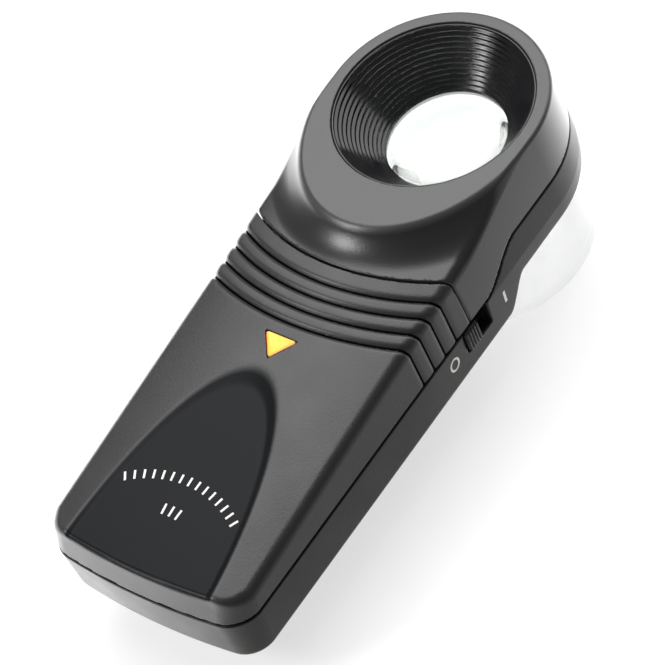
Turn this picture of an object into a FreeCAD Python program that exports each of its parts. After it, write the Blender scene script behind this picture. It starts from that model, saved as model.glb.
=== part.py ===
"""Hand-held illuminated loupe: a 15x magnifier in a clear standing cup, an LED and a three-cell handle.

Millimetres.  +X runs from the handle to the head, +Z up.  The origin is on the lens axis, on the
plane of the clear cup's rim, where the object being viewed lies.
"""
import FreeCAD
import Part
import math
import os

V = FreeCAD.Vector
X, Y, Z = V(1, 0, 0), V(0, 1, 0), V(0, 0, 1)

# ---- case: outside -----------------------------------------------------------------------------
cup_reach = 9.6             # how far the clear cup stands below the handle
half_width = 22.5           # half the case's width, and the head's radius at the seam
tail_reach = 102.1          # lens axis to the middle of the tail
tail_round = 141.0          # radius of the bowed tail face
tail_corner = 5.5           # corner radius between the sides and the tail
seam_height = 10.7          # seam above the handle's underside
seam_rise = 5.8             # how much higher the seam runs round the head
seam_rise_from = -24.0      # the seam starts to climb here
seam_rise_to = -12.0        # and is level again here
floor_rise = 6.2            # how much higher the head's underside is
floor_rise_from = -19.2
floor_rise_to = -12.7
shoulder_height = 22.6      # the handle's top edges above its underside, at the shoulder
shoulder_x = -31.5
top_slope = 0.107           # fall of the handle's top towards the tail, mm per mm
crown = 2.8                 # how much higher the top stands along its middle than at its edges
draft_below = 0.7           # how far the sides lean in from the seam down to the underside
draft_above = 0.7           # and from the seam up to the top of the head
head_height = 29.2          # top of the head above the handle's underside
skirt_top_reach = 29.4      # the head's flat top, lens axis to its edge towards the handle
skirt_top_half = 22.6
skirt_base_reach = 43.0     # the skirt drawn on below the shoulder to its base
skirt_base_half = 29.8
skirt_flare = 1.5           # how sharply the skirt flares near its foot
edge_round = 1.8            # rounding of the handle's top edge
wall = 1.6

# ---- case: partings ----------------------------------------------------------------------------
parting_centre = 5.2        # centre, on X, of the arc that parts the cover from the head shell
parting_radius = 40.9
parting_gap = 0.3
seam_gap = 0.12             # between the cover and the lower shell
rib_first = 3.6             # first groove behind the parting line
rib_pitch = 3.1
rib_count = 4
groove_width = 0.8
groove_depth = 0.6

# ---- battery cover -----------------------------------------------------------------------------
scoop_start = -57.8         # the thumb scoop's tip
scoop_centre = -110.0
scoop_half = 17.1
scoop_depth = 0.6           # at its tip
scoop_end_rise = 0.8        # its flat floor's height over the top's edges at the tail
arrow_base_x = -51.4        # the arrow insert, pointing to the tail
arrow_length = 4.7
arrow_half = 3.5
arrow_thickness = 1.0
arrow_sunk = 0.3
arrow_clear = 0.05
slide_travel = 8.0          # how far the cover slides before its hooks are clear of the rails
hook_first = -51.0          # front end of the hooks nearest the head
hook_length = 6.0
hook_count = 3              # on each side
hook_leg = 1.1
hook_foot = 0.9
hook_foot_height = 1.1
hook_foot_base = 7.5        # above the handle's underside
rail_height = 1.4
slide_clear = 0.2

# ---- optics ------------------------------------------------------------------------------------
mouth_radius = 18.9         # eyepiece opening
aperture = 11.44            # clear opening above the eye lens
cone_rings = 12
cone_wall = 1.1
cone_lip = 1.0
cone_flange = 1.0           # flange's height and its reach past the mouth
ring_tread = 0.42           # share of a ring's height that is its flat tread
lens_radius = 12.4
lens_edge = 1.5
eye_top_curve = 30.0        # radii of curvature
eye_under_curve = 22.0
field_curve = 16.3
lens_dome = 11.3            # radius of the polished dome
lens_gap = 0.4              # between the two lenses' crowns
lens_clear = 0.1
spacer_wall = 0.9
barrel_wall = 1.2
barrel_flange_reach = 2.2
barrel_flange = 1.0
retainer_lip = 1.2
cup_rim_radius = 21.3
cup_top_radius = 19.4
cup_wall = 1.6
cup_web = 1.5
cup_flange_reach = 1.1
cup_clear = 0.1

# ---- cells and contacts ------------------------------------------------------------------------
cell_radius = 5.25          # AAA size
cell_length = 44.5
cell_nub_radius = 1.9
cell_nub = 0.8
cell_pitch = 11.5
cell_lift = 0.4             # under a cell
cell_clear = 0.1
spring_length = 3.0
spring_foot = 3.2
spring_tip = 2.2
spring_wire = 0.5
plate = 0.4
plate_half = 3.6            # half the width of a contact plate at one cell
plate_height = 9.0
bay_tail = -97.6            # inner faces of the contact plates at the tail
bulkhead = 1.2
bulkhead_half = 17.3
bulkhead_top = 11.8
saddle_at = (-88.0, -60.0)
saddle = 1.2
strip_height = 3.0

# ---- circuit board, lamp and switch ------------------------------------------------------------
board_length = 12.0
board_half = 11.4
board_thickness = 1.2
board_lift = 6.0            # underside of the board above the handle's underside
board_gap = 2.0             # between the head-end bulkhead and the board
lamp_radius = 2.5
lamp_body = 5.6
lamp_flange_radius = 2.9
lamp_flange = 1.0
lamp_x = -20.4              # centre of the lamp's dome
lamp_z = 13.2
lamp_tilt = 45.0            # lamp's axis below the horizontal
lead_radius = 0.25
lead_pitch = 2.54
slot_from = -31.8           # switch slot
slot_to = -24.0
slot_bottom = 5.2
knob_length = 3.6
knob_clear = 0.35
knob_proud = 0.4
knob_ridges = 5
switch_length = 12.6
switch_height = 6.4
switch_depth = 4.6
switch_wall = 0.4
switch_inset = 0.75         # between the case's wall and the switch
switch_pin = 0.5

# ---- screws ------------------------------------------------------------------------------------
screw_radius = 1.1
screw_head_radius = 2.1
screw_head = 1.2
post_radius = 2.7
bay_screw_x = -42.0
bay_screw_y = 14.6
neck_screw_x = -25.4
neck_screw_y = 9.6
tongue_thickness = 1.5
tongue_top = 15.8           # above the handle's underside
tongue_end = -46.4

# ---- derived -----------------------------------------------------------------------------------
base = cup_reach                       # height of the handle's underside
seam = base + seam_height
head_seam = seam + seam_rise
head_floor = base + floor_rise
head_top = base + head_height
ledge = head_floor + wall              # top of the head's floor, where the cup's web lies
tail_x = -tail_reach
far = 400.0
mouth_floor = head_top - wall          # underside of the head's flat top
web_top = ledge + cup_web
lens_seat = web_top + 9.1              # top edge of the eye lens and foot of the cone
cell_z = base + wall + cell_lift + cell_radius
bay_head = bay_tail + spring_length + cell_length
cells_y = [cell_pitch * i for i in (-1, 0, 1)]
hook_at = [hook_first - (hook_length + slide_travel + 1.0) * i for i in range(hook_count)]


# ---- helpers -----------------------------------------------------------------------------------
def box(x0, x1, y0, y1, z0, z1):
    return Part.makeBox(x1 - x0, y1 - y0, z1 - z0, V(x0, y0, z0))


def rod(radius, start, end):
    return Part.makeCylinder(radius, (end - start).Length, start, end - start)


def disc(radius, z0, z1, x=0.0, y=0.0):
    return Part.makeCylinder(radius, z1 - z0, V(x, y, z0))


def ring(outer, inner, z0, z1):
    return disc(outer, z0, z1).cut(disc(inner, z0 - 1, z1 + 1))


def line(a, b):
    return Part.LineSegment(a, b).toShape()


def arc(a, b, c):
    return Part.Arc(a, b, c).toShape()


def turned(points):
    """A solid turned about the lens axis from (radius, height) points."""
    outline = [V(r, 0, z) for r, z in points]
    wire = Part.makePolygon(outline + outline[:1])
    return Part.Face(wire).revolve(V(0, 0, 0), Z, 360)


def side_prism(points, half=far / 4):
    """A solid with the (x, z) outline given, running across the case."""
    outline = [V(x, -half, z) for x, z in points]
    return Part.Face(Part.makePolygon(outline + outline[:1])).extrude(V(0, 2 * half, 0))


def plan(inset, z):
    """The case's outline seen from above: round head, straight sides, bowed tail."""
    w = half_width - inset
    corner = max(tail_corner - inset, 0.8)
    big = tail_round - inset
    centre = V(tail_x + tail_round, 0, z)
    cy = w - corner
    cx = centre.x - math.sqrt((big - corner) ** 2 - cy ** 2)
    edges = [arc(V(0, w, z), V(w, 0, z), V(0, -w, z))]
    ends = []
    for s in (-1, 1):
        c = V(cx, s * cy, z)
        out = (c - centre).normalize()
        middle = (out + V(0, s, 0)).normalize()
        ends.append((V(cx, s * w, z), c + middle * corner, centre + out * big))
    (a0, a1, a2), (b0, b1, b2) = ends
    edges += [line(V(0, -w, z), a0), arc(a0, a1, a2), arc(a2, centre - X * big, b2), arc(b2, b1, b0)]
    edges += [line(b0, V(0, w, z))]
    return Part.Wire(edges)


def lean(z):
    """How far the sides stand in from the seam's outline at height z."""
    if z < seam:
        return draft_below * (seam - z) / seam_height
    return draft_above * (z - seam) / (head_top - seam)


def tapered(inset, z0, z1):
    """The case's solid outline between two heights, drafted away from the seam."""
    levels = [z0] + [seam] * (z0 < seam < z1) + [z1]
    runs = zip(levels, levels[1:])
    parts = [Part.makeLoft([plan(inset + lean(a), a), plan(inset + lean(b), b)], True, True)
             for a, b in runs]
    return parts[0] if len(parts) == 1 else parts[0].fuse(parts[1]).removeSplitter()


def smooth_step(x, x0, x1, rise):
    t = min(max((x - x0) / (x1 - x0), 0.0), 1.0)
    return rise * t * t * (3 - 2 * t)


def step_edges(x0, x1, z, rise, y):
    """A straight run, an S-shaped climb and a straight run, as one curve's edges at y."""
    count = 9
    points = [V(x0 + (x1 - x0) * i / (count - 1), y, 0) for i in range(count)]
    for p in points:
        p.z = z + smooth_step(p.x, x0, x1, rise)
    curve = Part.BSplineCurve()
    curve.interpolate(points, InitialTangent=X, FinalTangent=X)
    return [line(V(-far, y, z), points[0]), curve.toShape(), line(points[-1], V(far, y, z + rise))]


def above_step(x0, x1, z, rise):
    """Everything above a surface that climbs from z to z + rise."""
    y = -far / 4
    edges = step_edges(x0, x1, z, rise, y)
    edges += [line(V(far, y, z + rise), V(far, y, far)), line(V(far, y, far), V(-far, y, far))]
    edges += [line(V(-far, y, far), V(-far, y, z))]
    return Part.Face(Part.Wire(edges)).extrude(V(0, far / 2, 0))


def top_z(x, drop=0.0):
    return base + shoulder_height - drop + top_slope * (x - shoulder_x)


def crown_radius():
    return (half_width ** 2 + crown ** 2) / (2 * crown)


def crown_z(x):
    """Height of the handle's top along its middle."""
    return top_z(x) + crown


def below_top(drop):
    """Everything below the handle's sloping, crowned top, taken in by drop."""
    along = V(1, 0, top_slope).normalize()
    start = V(-far / 2, 0, crown_z(-far / 2) - crown_radius() * math.hypot(1, top_slope))
    return Part.makeCylinder(crown_radius() - drop, far, start, along)


def egg(reach, half, z):
    """Round towards the head, drawn out towards the handle."""
    front = arc(V(0, half, z), V(half, 0, z), V(0, -half, z))
    oval = Part.Ellipse(V(-reach, 0, z), V(0, half, z), V(0, 0, z))
    back = Part.ArcOfEllipse(oval, -math.pi / 2, math.pi / 2).toShape()
    return Part.Wire([front, back])


def skirt(inset, z_top):
    """The head's raised part: a flat top on a skirt that flares down to the shoulder."""
    foot = top_z(-skirt_base_reach) - wall
    sections = []
    for i in range(6):
        t = i / 5.0
        grow = t ** skirt_flare
        reach = skirt_top_reach + (skirt_base_reach - skirt_top_reach) * grow - inset
        half = skirt_top_half + (skirt_base_half - skirt_top_half) * grow - inset
        sections.append(egg(reach, half, z_top + (foot - z_top) * t))
    return Part.makeLoft(sections, True, False)


def parting(radius):
    return Part.makeCylinder(radius, far, V(parting_centre, 0, -far / 2))


def save(name, shape):
    if shape.ShapeType == "Compound" and len(shape.Solids) == 1:
        shape = shape.Solids[0]
    shape.exportStep("parts/" + name + ".step")


# ---- case --------------------------------------------------------------------------------------
def handle_outside():
    """The case without the head's raised part, with its top edge rounded."""
    body = tapered(0.0, base, head_top - 1).common(below_top(0.0))
    on_top = max((f for f in body.Faces if f.Surface.TypeId == "Part::GeomCylinder"),
                 key=lambda f: f.BoundBox.XLength).Edges
    underside = [e for e in body.Edges if all(abs(v.Z - base) < 1e-4 for v in e.Vertexes)]
    return body.makeFillet(edge_round, on_top).makeFillet(edge_round * 0.7, underside)


def hollow(drop, floor=None):
    """The space inside the walls, below the top lowered by drop."""
    space = tapered(wall, base - 1, head_top - 1).common(below_top(drop))
    return space if floor is None else space.common(floor)


def inner_floor():
    return above_step(floor_rise_from, floor_rise_to, base + wall, floor_rise)


def above_seam(lift=0.0):
    return above_step(seam_rise_from, seam_rise_to, seam + lift, seam_rise)


def bulkhead_at(x):
    return box(x, x + bulkhead, -bulkhead_half, bulkhead_half, base + wall - 0.1, base + bulkhead_top)


def rail(x, side):
    """A short rail on the lower shell's wall that a hook of the cover runs under."""
    y_wall = half_width - wall + 0.3
    y_in = half_width - wall - hook_foot
    z0 = base + hook_foot_base + hook_foot_height + slide_clear
    low, high = sorted((side * y_in, side * y_wall))
    return box(x - hook_length, x, low, high, z0, z0 + rail_height)


def cup_outside(grow):
    return turned([(0, 0), (cup_rim_radius + grow, 0), (cup_top_radius + grow, head_floor),
                   (cup_top_radius + grow, ledge), (0, ledge)])


def switch_shelf():
    """A block on the floor that the switch stands on."""
    x, y, z = switch_box()
    return box(x - 4, x + 4, y, y + switch_depth, base + wall - 0.1, z - switch_height / 2)


def bottom_shell(outside):
    shell = outside.common(above_step(floor_rise_from, floor_rise_to, base, floor_rise))
    shell = shell.cut(above_seam()).cut(hollow(wall, inner_floor()))
    shell = shell.cut(cup_outside(cup_clear))
    saddle_top = cell_z
    add = [bulkhead_at(bay_tail - plate - bulkhead), bulkhead_at(bay_head + plate)]
    half = half_width - wall - 0.4
    for x in saddle_at:
        add.append(box(x, x + saddle, -half, half, base + wall - 0.1, saddle_top - 2.2))
    add += [rail(x, s) for x in hook_at for s in (-1, 1)]
    add.append(switch_shelf())
    for s in (-1, 1):
        add.append(disc(post_radius, base + wall - 0.1, base + tongue_top - tongue_thickness,
                        bay_screw_x, s * bay_screw_y))
        add.append(disc(post_radius, base + wall - 0.1, seam - 2, neck_screw_x, s * neck_screw_y))
        for x in (board_start() + 1.5, board_start() + board_length - 1.5):
            add.append(disc(1.2, base + wall - 0.1, base + board_lift, x, s * (board_half - 2)))
    shell = shell.multiFuse(add)
    tail_end = V(bay_tail - plate, 0, 0)
    cuts = [rod(cell_radius + cell_clear, V(tail_end.x, y, cell_z), V(bay_head + plate, y, cell_z))
            for y in cells_y]
    strip_y = bulkhead_half + 0.25
    cuts.append(box(bay_tail - plate - 0.1, bay_head + 3, strip_y, strip_y + plate + 0.15,
                    base + wall, base + wall + strip_height + 0.4))
    z_tab = base + board_lift + board_thickness
    for y0, y1 in head_tabs():
        cuts.append(box(bay_head, bay_head + plate + bulkhead + 0.1, y0 - 0.1, y1 + 0.1,
                        z_tab - 0.1, z_tab + plate + 0.1))
    cuts.append(box(slot_from, slot_to, -half_width - 1, -half_width + wall + 0.5,
                    base + slot_bottom, seam + 1))
    for s in (-1, 1):
        cuts.append(disc(screw_radius, base + 4, base + tongue_top, bay_screw_x, s * bay_screw_y))
        cuts.append(disc(screw_radius + 0.2, base - 1, seam, neck_screw_x, s * neck_screw_y))
        cuts.append(disc(screw_head_radius + 0.2, base - 1, base + screw_head + 0.6,
                         neck_screw_x, s * neck_screw_y))
    return shell.cut(Part.makeCompound(cuts))


def head_shell(outside):
    raised = skirt(0.0, head_top).common(tapered(0.0, seam, head_top))
    whole = outside.fuse(raised)
    shell = whole.common(above_seam(seam_gap)).common(parting(parting_radius - parting_gap / 2))
    inner_raised = skirt(wall, mouth_floor).common(tapered(wall, seam, mouth_floor))
    shell = shell.cut(hollow(wall).fuse(inner_raised))
    shell = shell.cut(disc(mouth_radius + cup_clear, mouth_floor - 1, head_top + 1))
    half = half_width - wall - hook_foot - 1
    drop_x = -parting_radius + parting_centre + 3.2
    tongue = box(tongue_end, drop_x, -half, half, base + tongue_top - tongue_thickness,
                 base + tongue_top)
    front_half = bay_screw_y - screw_head_radius - 0.5
    front = box(drop_x - tongue_thickness, drop_x, -front_half, front_half,
                base + tongue_top - tongue_thickness, head_top).common(below_top(wall / 2))
    add = [tongue, front.common(parting(parting_radius - parting_gap / 2))]
    for s in (-1, 1):
        z0 = seam - 2 + seam_gap
        add.append(disc(post_radius, z0, head_top, neck_screw_x, s * neck_screw_y).common(whole))
    shell = shell.multiFuse(add)
    cuts = []
    for s in (-1, 1):
        cuts.append(disc(screw_radius + 0.2, base, base + tongue_top + 1, bay_screw_x,
                         s * bay_screw_y))
        cuts.append(disc(screw_radius, seam - 3, seam + 4, neck_screw_x, s * neck_screw_y))
    return shell.cut(Part.makeCompound(cuts))


def battery_cover(outside):
    cover = outside.common(above_seam(seam_gap)).cut(parting(parting_radius + parting_gap / 2))
    for i in range(rib_count):
        r = parting_radius + rib_first + rib_pitch * i
        band = parting(r + groove_width / 2).cut(parting(r - groove_width / 2))
        inside = tapered(groove_depth, seam - 1, head_top - 1).common(below_top(groove_depth))
        cover = cover.cut(band.cut(inside))
    under_scoop = side_prism([(-far, scoop_z(-far) - wall), (far, scoop_z(far) - wall), (far, -far),
                              (-far, -far)])
    cover = cover.cut(hollow(wall + groove_depth / 2).common(under_scoop))
    cover = cover.cut(scoop()).cut(arrow(arrow_clear, 5.0))
    hooks = [hook(x, s) for x in hook_at for s in (-1, 1)]
    seat = box(arrow_base_x - arrow_length - 1, arrow_base_x + 1, -arrow_half - 1, arrow_half + 1,
               arrow_z() - 1.0, arrow_z())
    return cover.multiFuse(hooks + [seat])


def hook(x, side):
    """A leg on the inside of the cover's wall, with a foot turned out under a rail."""
    inner = half_width - wall
    y_leg = inner - hook_foot - slide_clear
    z0 = base + hook_foot_base
    leg = box(x - hook_length, x, y_leg - hook_leg, y_leg, z0, seam + 2.4)
    root = box(x - hook_length, x, y_leg - hook_leg, inner + 0.1, seam + 0.7, seam + 2.4)
    foot = box(x - hook_length, x, y_leg - hook_leg, inner - 0.3, z0, z0 + hook_foot_height)
    whole = leg.fuse([root, foot])
    return whole if side > 0 else whole.mirror(V(0, 0, 0), Y)


def scoop_z(x):
    """Height of the thumb rest's flat floor."""
    z0, z1 = crown_z(scoop_start) - scoop_depth, top_z(tail_x) + scoop_end_rise
    return z0 + (z0 - z1) / (scoop_start - tail_x) * (x - scoop_start)


def scoop():
    """A flat-floored thumb rest in the crowned top, open towards the tail."""
    oval = Part.Ellipse(V(scoop_start, 0, 0), V(scoop_centre, scoop_half, 0), V(scoop_centre, 0, 0))
    area = Part.Face(Part.Wire([oval.toShape()])).extrude(V(0, 0, far))
    wedge = side_prism([(scoop_start, scoop_z(scoop_start)), (scoop_start, far), (-far, far),
                        (-far, scoop_z(-far))])
    return area.common(wedge)


def arrow_z():
    return crown_z(arrow_base_x - arrow_length) - arrow_sunk - arrow_thickness


def arrow(grow, thickness):
    corners = [V(arrow_base_x + grow, arrow_half + 2 * grow, arrow_z()),
               V(arrow_base_x + grow, -arrow_half - 2 * grow, arrow_z()),
               V(arrow_base_x - arrow_length - 2 * grow, 0, arrow_z())]
    return Part.Face(Part.makePolygon(corners + corners[:1])).extrude(V(0, 0, thickness))


# ---- optics ------------------------------------------------------------------------------------
def cap_sag(curve, radius):
    return curve - math.sqrt(curve ** 2 - radius ** 2)


def dome(curve, radius, z, up):
    """The spherical cap standing on a circle at height z, as a solid."""
    sag = cap_sag(curve, radius)
    centre = z + (sag - curve) * up
    ball = Part.makeSphere(curve, V(0, 0, centre))
    low, high = sorted((z, z + up * (sag + 1)))
    return ball.common(disc(radius + 1, low, high))


def eye_lens():
    z = lens_seat
    lens = disc(lens_radius, z - lens_edge, z)
    return lens.fuse([dome(eye_top_curve, lens_dome, z, 1),
                      dome(eye_under_curve, lens_dome, z - lens_edge, -1)])


def field_lens_top():
    """Height of the field lens's edge, from the gap between the two crowns."""
    eye_crown = lens_seat - lens_edge - cap_sag(eye_under_curve, lens_dome)
    return eye_crown - lens_gap - cap_sag(field_curve, lens_dome)


def field_lens():
    z = field_lens_top()
    return disc(lens_radius, z - lens_edge, z).fuse(dome(field_curve, lens_dome, z, 1))


def lens_spacer():
    return ring(lens_radius, lens_radius - spacer_wall, field_lens_top(), lens_seat - lens_edge)


def lens_barrel():
    inner = lens_radius + lens_clear
    outer = inner + barrel_wall
    tube = ring(outer, inner, retainer_bottom(), lens_seat)
    return tube.fuse(ring(outer + barrel_flange_reach, inner, web_top, web_top + barrel_flange))


def retainer_bottom():
    return field_lens_top() - lens_edge - retainer_lip


def lens_retainer():
    return ring(lens_radius + lens_clear / 2, lens_radius - retainer_lip, retainer_bottom(),
                field_lens_top() - lens_edge)


def clear_cup():
    slope = (cup_rim_radius - cup_top_radius) / head_floor
    shaft = lens_radius + lens_clear + barrel_wall + cup_clear
    flange = cup_top_radius + cup_flange_reach
    inner_top = cup_top_radius - cup_wall
    return turned([(cup_rim_radius, 0), (cup_top_radius, head_floor), (cup_top_radius, ledge),
                   (flange, ledge), (flange, web_top), (shaft, web_top), (shaft, ledge),
                   (inner_top, ledge), (cup_rim_radius - cup_wall * math.hypot(1, slope), 0)])


def eyepiece_cone():
    """A funnel with fine rings inside that stop stray reflections."""
    lip_top = lens_seat + cone_lip
    outside_foot = lens_radius + lens_clear + barrel_wall
    points = [(mouth_radius, head_top), (mouth_radius, mouth_floor),
              (mouth_radius + cone_flange, mouth_floor),
              (mouth_radius + cone_flange, mouth_floor - cone_flange),
              (mouth_radius, mouth_floor - cone_flange),
              (outside_foot, lens_seat), (aperture, lens_seat), (aperture, lip_top)]
    step_z = (head_top - lip_top) / cone_rings
    step_r = (mouth_radius - cone_wall / 2 - aperture) / cone_rings
    for i in range(cone_rings):
        r, z = aperture + step_r * i, lip_top + step_z * i
        points += [(r + step_r, z + step_z * ring_tread), (r + step_r, z + step_z)]
    return turned(points)


# ---- cells and contacts ------------------------------------------------------------------------
def cell_ends(index):
    """Where a cell's flat end and nub end lie: the middle one is turned round."""
    flipped = index == 1
    flat = bay_head - spring_length if flipped else bay_tail + spring_length
    return flat, (-1 if flipped else 1)


def cell(index):
    flat, way = cell_ends(index)
    y = cells_y[index]
    body_end = V(flat + way * (cell_length - cell_nub), y, cell_z)
    body = rod(cell_radius, V(flat, y, cell_z), body_end)
    body = body.makeFillet(0.5, [e for e in body.Edges if len(e.Vertexes) == 1])
    return body.fuse(rod(cell_nub_radius, body_end, body_end + X * way * cell_nub))


def cell_spring(index):
    """The coil spring's envelope: a thin hollow cone from its plate to the cell's flat end."""
    flat, way = cell_ends(index)
    start = V(flat - way * spring_length, cells_y[index], cell_z)
    outer = Part.makeCone(spring_foot, spring_tip, spring_length, start, X * way)
    inner = Part.makeCone(spring_foot - spring_wire, spring_tip - spring_wire, spring_length, start,
                          X * way)
    return outer.cut(inner)


def contact(x, y0, y1):
    z0 = base + wall
    return box(x, x + plate, y0 - plate_half, y1 + plate_half, z0, z0 + plate_height)


def tail_bridge():
    return contact(bay_tail - plate, cells_y[0], cells_y[1])


def tail_terminal():
    z0 = base + wall
    strip_y = bulkhead_half + 0.3
    arm = box(bay_tail - plate, bay_tail, cells_y[2], strip_y, z0, z0 + strip_height)
    return contact(bay_tail - plate, cells_y[2], cells_y[2]).fuse(arm)


def head_tabs():
    """Where, across the case, the head-end contacts' solder tabs reach the board."""
    return [(cells_y[0] + 1.0, cells_y[0] + 3.4), (cells_y[2] - 3.4, cells_y[2] - 1.0)]


def tab(y0, y1):
    z0 = base + board_lift + board_thickness
    return box(bay_head, board_start() + 2, y0, y1, z0, z0 + plate)


def head_terminal():
    return contact(bay_head, cells_y[0], cells_y[0]).fuse(tab(*head_tabs()[0]))


def head_bridge():
    return contact(bay_head, cells_y[1], cells_y[2])


def return_strip():
    """Carries the tail terminal's current along the wall to the board."""
    z0 = base + wall
    y = bulkhead_half + 0.3
    x_turn = bay_head + plate + bulkhead + 0.3
    run = box(bay_tail - plate, x_turn + plate, y, y + plate, z0, z0 + strip_height)
    y0, y1 = head_tabs()[1]
    z_board = base + board_lift + board_thickness
    back = box(x_turn, x_turn + plate, y0, y + plate, z0, z0 + strip_height)
    up = box(x_turn, x_turn + plate, y0, y1, z0, z_board + plate)
    over = box(x_turn, board_start() + 2, y0, y1, z_board, z_board + plate)
    return run.fuse([back, up, over])


# ---- circuit board and lamp --------------------------------------------------------------------
def board_start():
    return bay_head + plate + bulkhead + board_gap


def circuit_board():
    x, z = board_start(), base + board_lift
    board = box(x, x + board_length, -board_half, board_half, z, z + board_thickness)
    holes = [disc(lead_radius + 0.15, z - 1, z + 3, lead_end_x(), s * lead_pitch / 2) for s in (-1, 1)]
    holes += [disc(lead_radius + 0.15, z - 1, z + 3, p.x, p.y) for p in resistor_feet()]
    return board.cut(Part.makeCompound(holes))


def bent_wire(points, radius):
    runs = [rod(radius, a, b) for a, b in zip(points, points[1:])]
    joints = [Part.makeSphere(radius, p) for p in points[1:-1]]
    return runs[0].multiFuse(runs[1:] + joints)


def resistor_feet():
    x = board_start() + 5.2
    return [V(x, s * 5.0, base + board_lift - 0.8) for s in (-1, 1)]


def resistor_height():
    return base + board_lift + board_thickness + 1.3


def resistor():
    x = resistor_feet()[0].x
    z = resistor_height()
    return rod(1.15, V(x, -3.1, z), V(x, 3.1, z))


def resistor_leads():
    z = resistor_height()
    leads = []
    for foot in resistor_feet():
        s = 1 if foot.y > 0 else -1
        leads.append(bent_wire([V(foot.x, s * 3.1, z), V(foot.x, foot.y, z), foot], lead_radius))
    return Part.makeCompound(leads)


def lamp_axis():
    a = math.radians(lamp_tilt)
    return V(math.cos(a), 0, -math.sin(a))


def lamp_centre():
    return V(lamp_x, 0, base + lamp_z)


def lamp_back():
    return lamp_centre() - lamp_axis() * (lamp_body + lamp_flange)


def lamp():
    centre, along = lamp_centre(), lamp_axis()
    body = rod(lamp_radius, centre - along * lamp_body, centre)
    flange = rod(lamp_flange_radius, lamp_back(), centre - along * lamp_body)
    return Part.makeSphere(lamp_radius, centre).fuse([body, flange])


def lead_end_x():
    return board_start() + board_length - 1.6


def lamp_leads():
    back = lamp_back()
    z_foot = base + board_lift - 0.8
    leads = []
    for s in (-1, 1):
        off = V(0, s * lead_pitch / 2, 0)
        bend = back - lamp_axis() * 1.0 + off
        turn_x = neck_screw_x - 3.2
        leads.append(bent_wire([back + off, bend, V(turn_x, off.y, bend.z - 1.5),
                                V(turn_x - 0.8, off.y, seam), V(lead_end_x(), off.y, seam - 1),
                                V(lead_end_x(), off.y, z_foot)], lead_radius))
    return Part.makeCompound(leads)


def lamp_holder():
    """A clip round the lamp's body on a foot that stands on the lower shell's floor."""
    centre, along = lamp_centre(), lamp_axis()
    rear = centre - along * (lamp_body - 0.4)
    sleeve = rod(lamp_radius + 0.9, rear, rear + along * 2.6)
    middle = rear + along * 1.3
    foot = box(middle.x - 1.4, middle.x + 1.4, -2.4, 2.4, base + wall, middle.z)
    bore = rod(lamp_radius + 0.05, rear - along * 4, centre + along * 9)
    clear_back = rod(lamp_flange_radius + 0.1, lamp_back() - along, rear)
    return sleeve.fuse(foot).cut(bore).cut(clear_back)


# ---- switch ------------------------------------------------------------------------------------
def switch_box():
    x = (slot_from + slot_to) / 2
    z = base + (slot_bottom + seam_height) / 2
    y = -half_width + wall + switch_inset
    return x, y, z


def switch_frame():
    """The folded steel frame, with a window for the slider."""
    x, y, z = switch_box()
    half, tall = switch_length / 2, switch_height / 2
    frame = box(x - half, x + half, y, y + switch_depth, z - tall, z + tall)
    t = switch_wall
    frame = frame.cut(box(x - half + t, x + half - t, y + t, y + switch_depth + 1, z - tall + t,
                          z + tall - t))
    window = (slot_to - slot_from) / 2
    return frame.cut(box(x - window, x + window, y - 1, y + 1, z - knob_height() / 2 - 0.2,
                         z + knob_height() / 2 + 0.2))


def knob_height():
    return seam_height - slot_bottom - 2 * knob_clear - 0.3


def switch_base():
    x, y, z = switch_box()
    half, tall, t = switch_length / 2 - switch_wall - 0.02, switch_height / 2 - switch_wall - 0.02, 1.1
    y0 = y + switch_depth - t
    return box(x - half, x + half, y0, y0 + t, z - tall, z + tall)


def switch_terminals():
    x, y, z = switch_box()
    y0 = y + switch_depth
    pins = [box(x + i * 3.0 - switch_pin / 2, x + i * 3.0 + switch_pin / 2, y0, y0 + 3.0,
                z - 0.8, z + 0.8) for i in (-1, 0, 1)]
    return Part.makeCompound(pins)


def switch_slider():
    """The block inside the frame that carries the contacts and moves with the knob."""
    x, y, z = switch_box()
    x0 = slot_from + knob_clear
    width = knob_length + 1.2
    depth = switch_depth - 1.1 - switch_wall - 0.3
    y0 = y + switch_wall + 0.15
    return box(x0 - 0.6, x0 - 0.6 + width, y0, y0 + depth, z - knob_height() / 2 + 0.1,
               z + knob_height() / 2 - 0.1)


def switch_knob():
    x, y, z = switch_box()
    x0 = slot_from + knob_clear
    front = -half_width - knob_proud
    inner = y + switch_wall + 0.15
    knob = box(x0, x0 + knob_length, front, inner, z - knob_height() / 2, z + knob_height() / 2)
    pitch = knob_length / knob_ridges
    cuts = [box(x0 + pitch * (i + 0.72), x0 + pitch * (i + 1.0), front - 1, front + 0.4,
                z - 9, z + 9) for i in range(knob_ridges - 1)]
    return knob.cut(Part.makeCompound(cuts))


# ---- screws ------------------------------------------------------------------------------------
def screw(x, y, seat, down, length):
    """A pan-head screw whose head lies on seat; down is the way its shank points."""
    head = disc(screw_head_radius, *sorted((seat, seat - down * screw_head)), x, y)
    shank = disc(screw_radius, *sorted((seat, seat + down * length)), x, y)
    cross = [box(x - 1.2, x + 1.2, y - 0.25, y + 0.25, -0.5, 0.5),
             box(x - 0.25, x + 0.25, y - 1.2, y + 1.2, -0.5, 0.5)]
    for slot in cross:
        slot.translate(V(0, 0, seat - down * screw_head))
    return head.fuse(shank).cut(cross[0].fuse(cross[1]))


def bay_screws():
    return Part.makeCompound([screw(bay_screw_x, s * bay_screw_y, base + tongue_top, -1, 8.0)
                              for s in (-1, 1)])


def underside_screws():
    return Part.makeCompound([screw(neck_screw_x, s * neck_screw_y, base + screw_head + 0.6, 1, 9.0)
                              for s in (-1, 1)])


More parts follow.
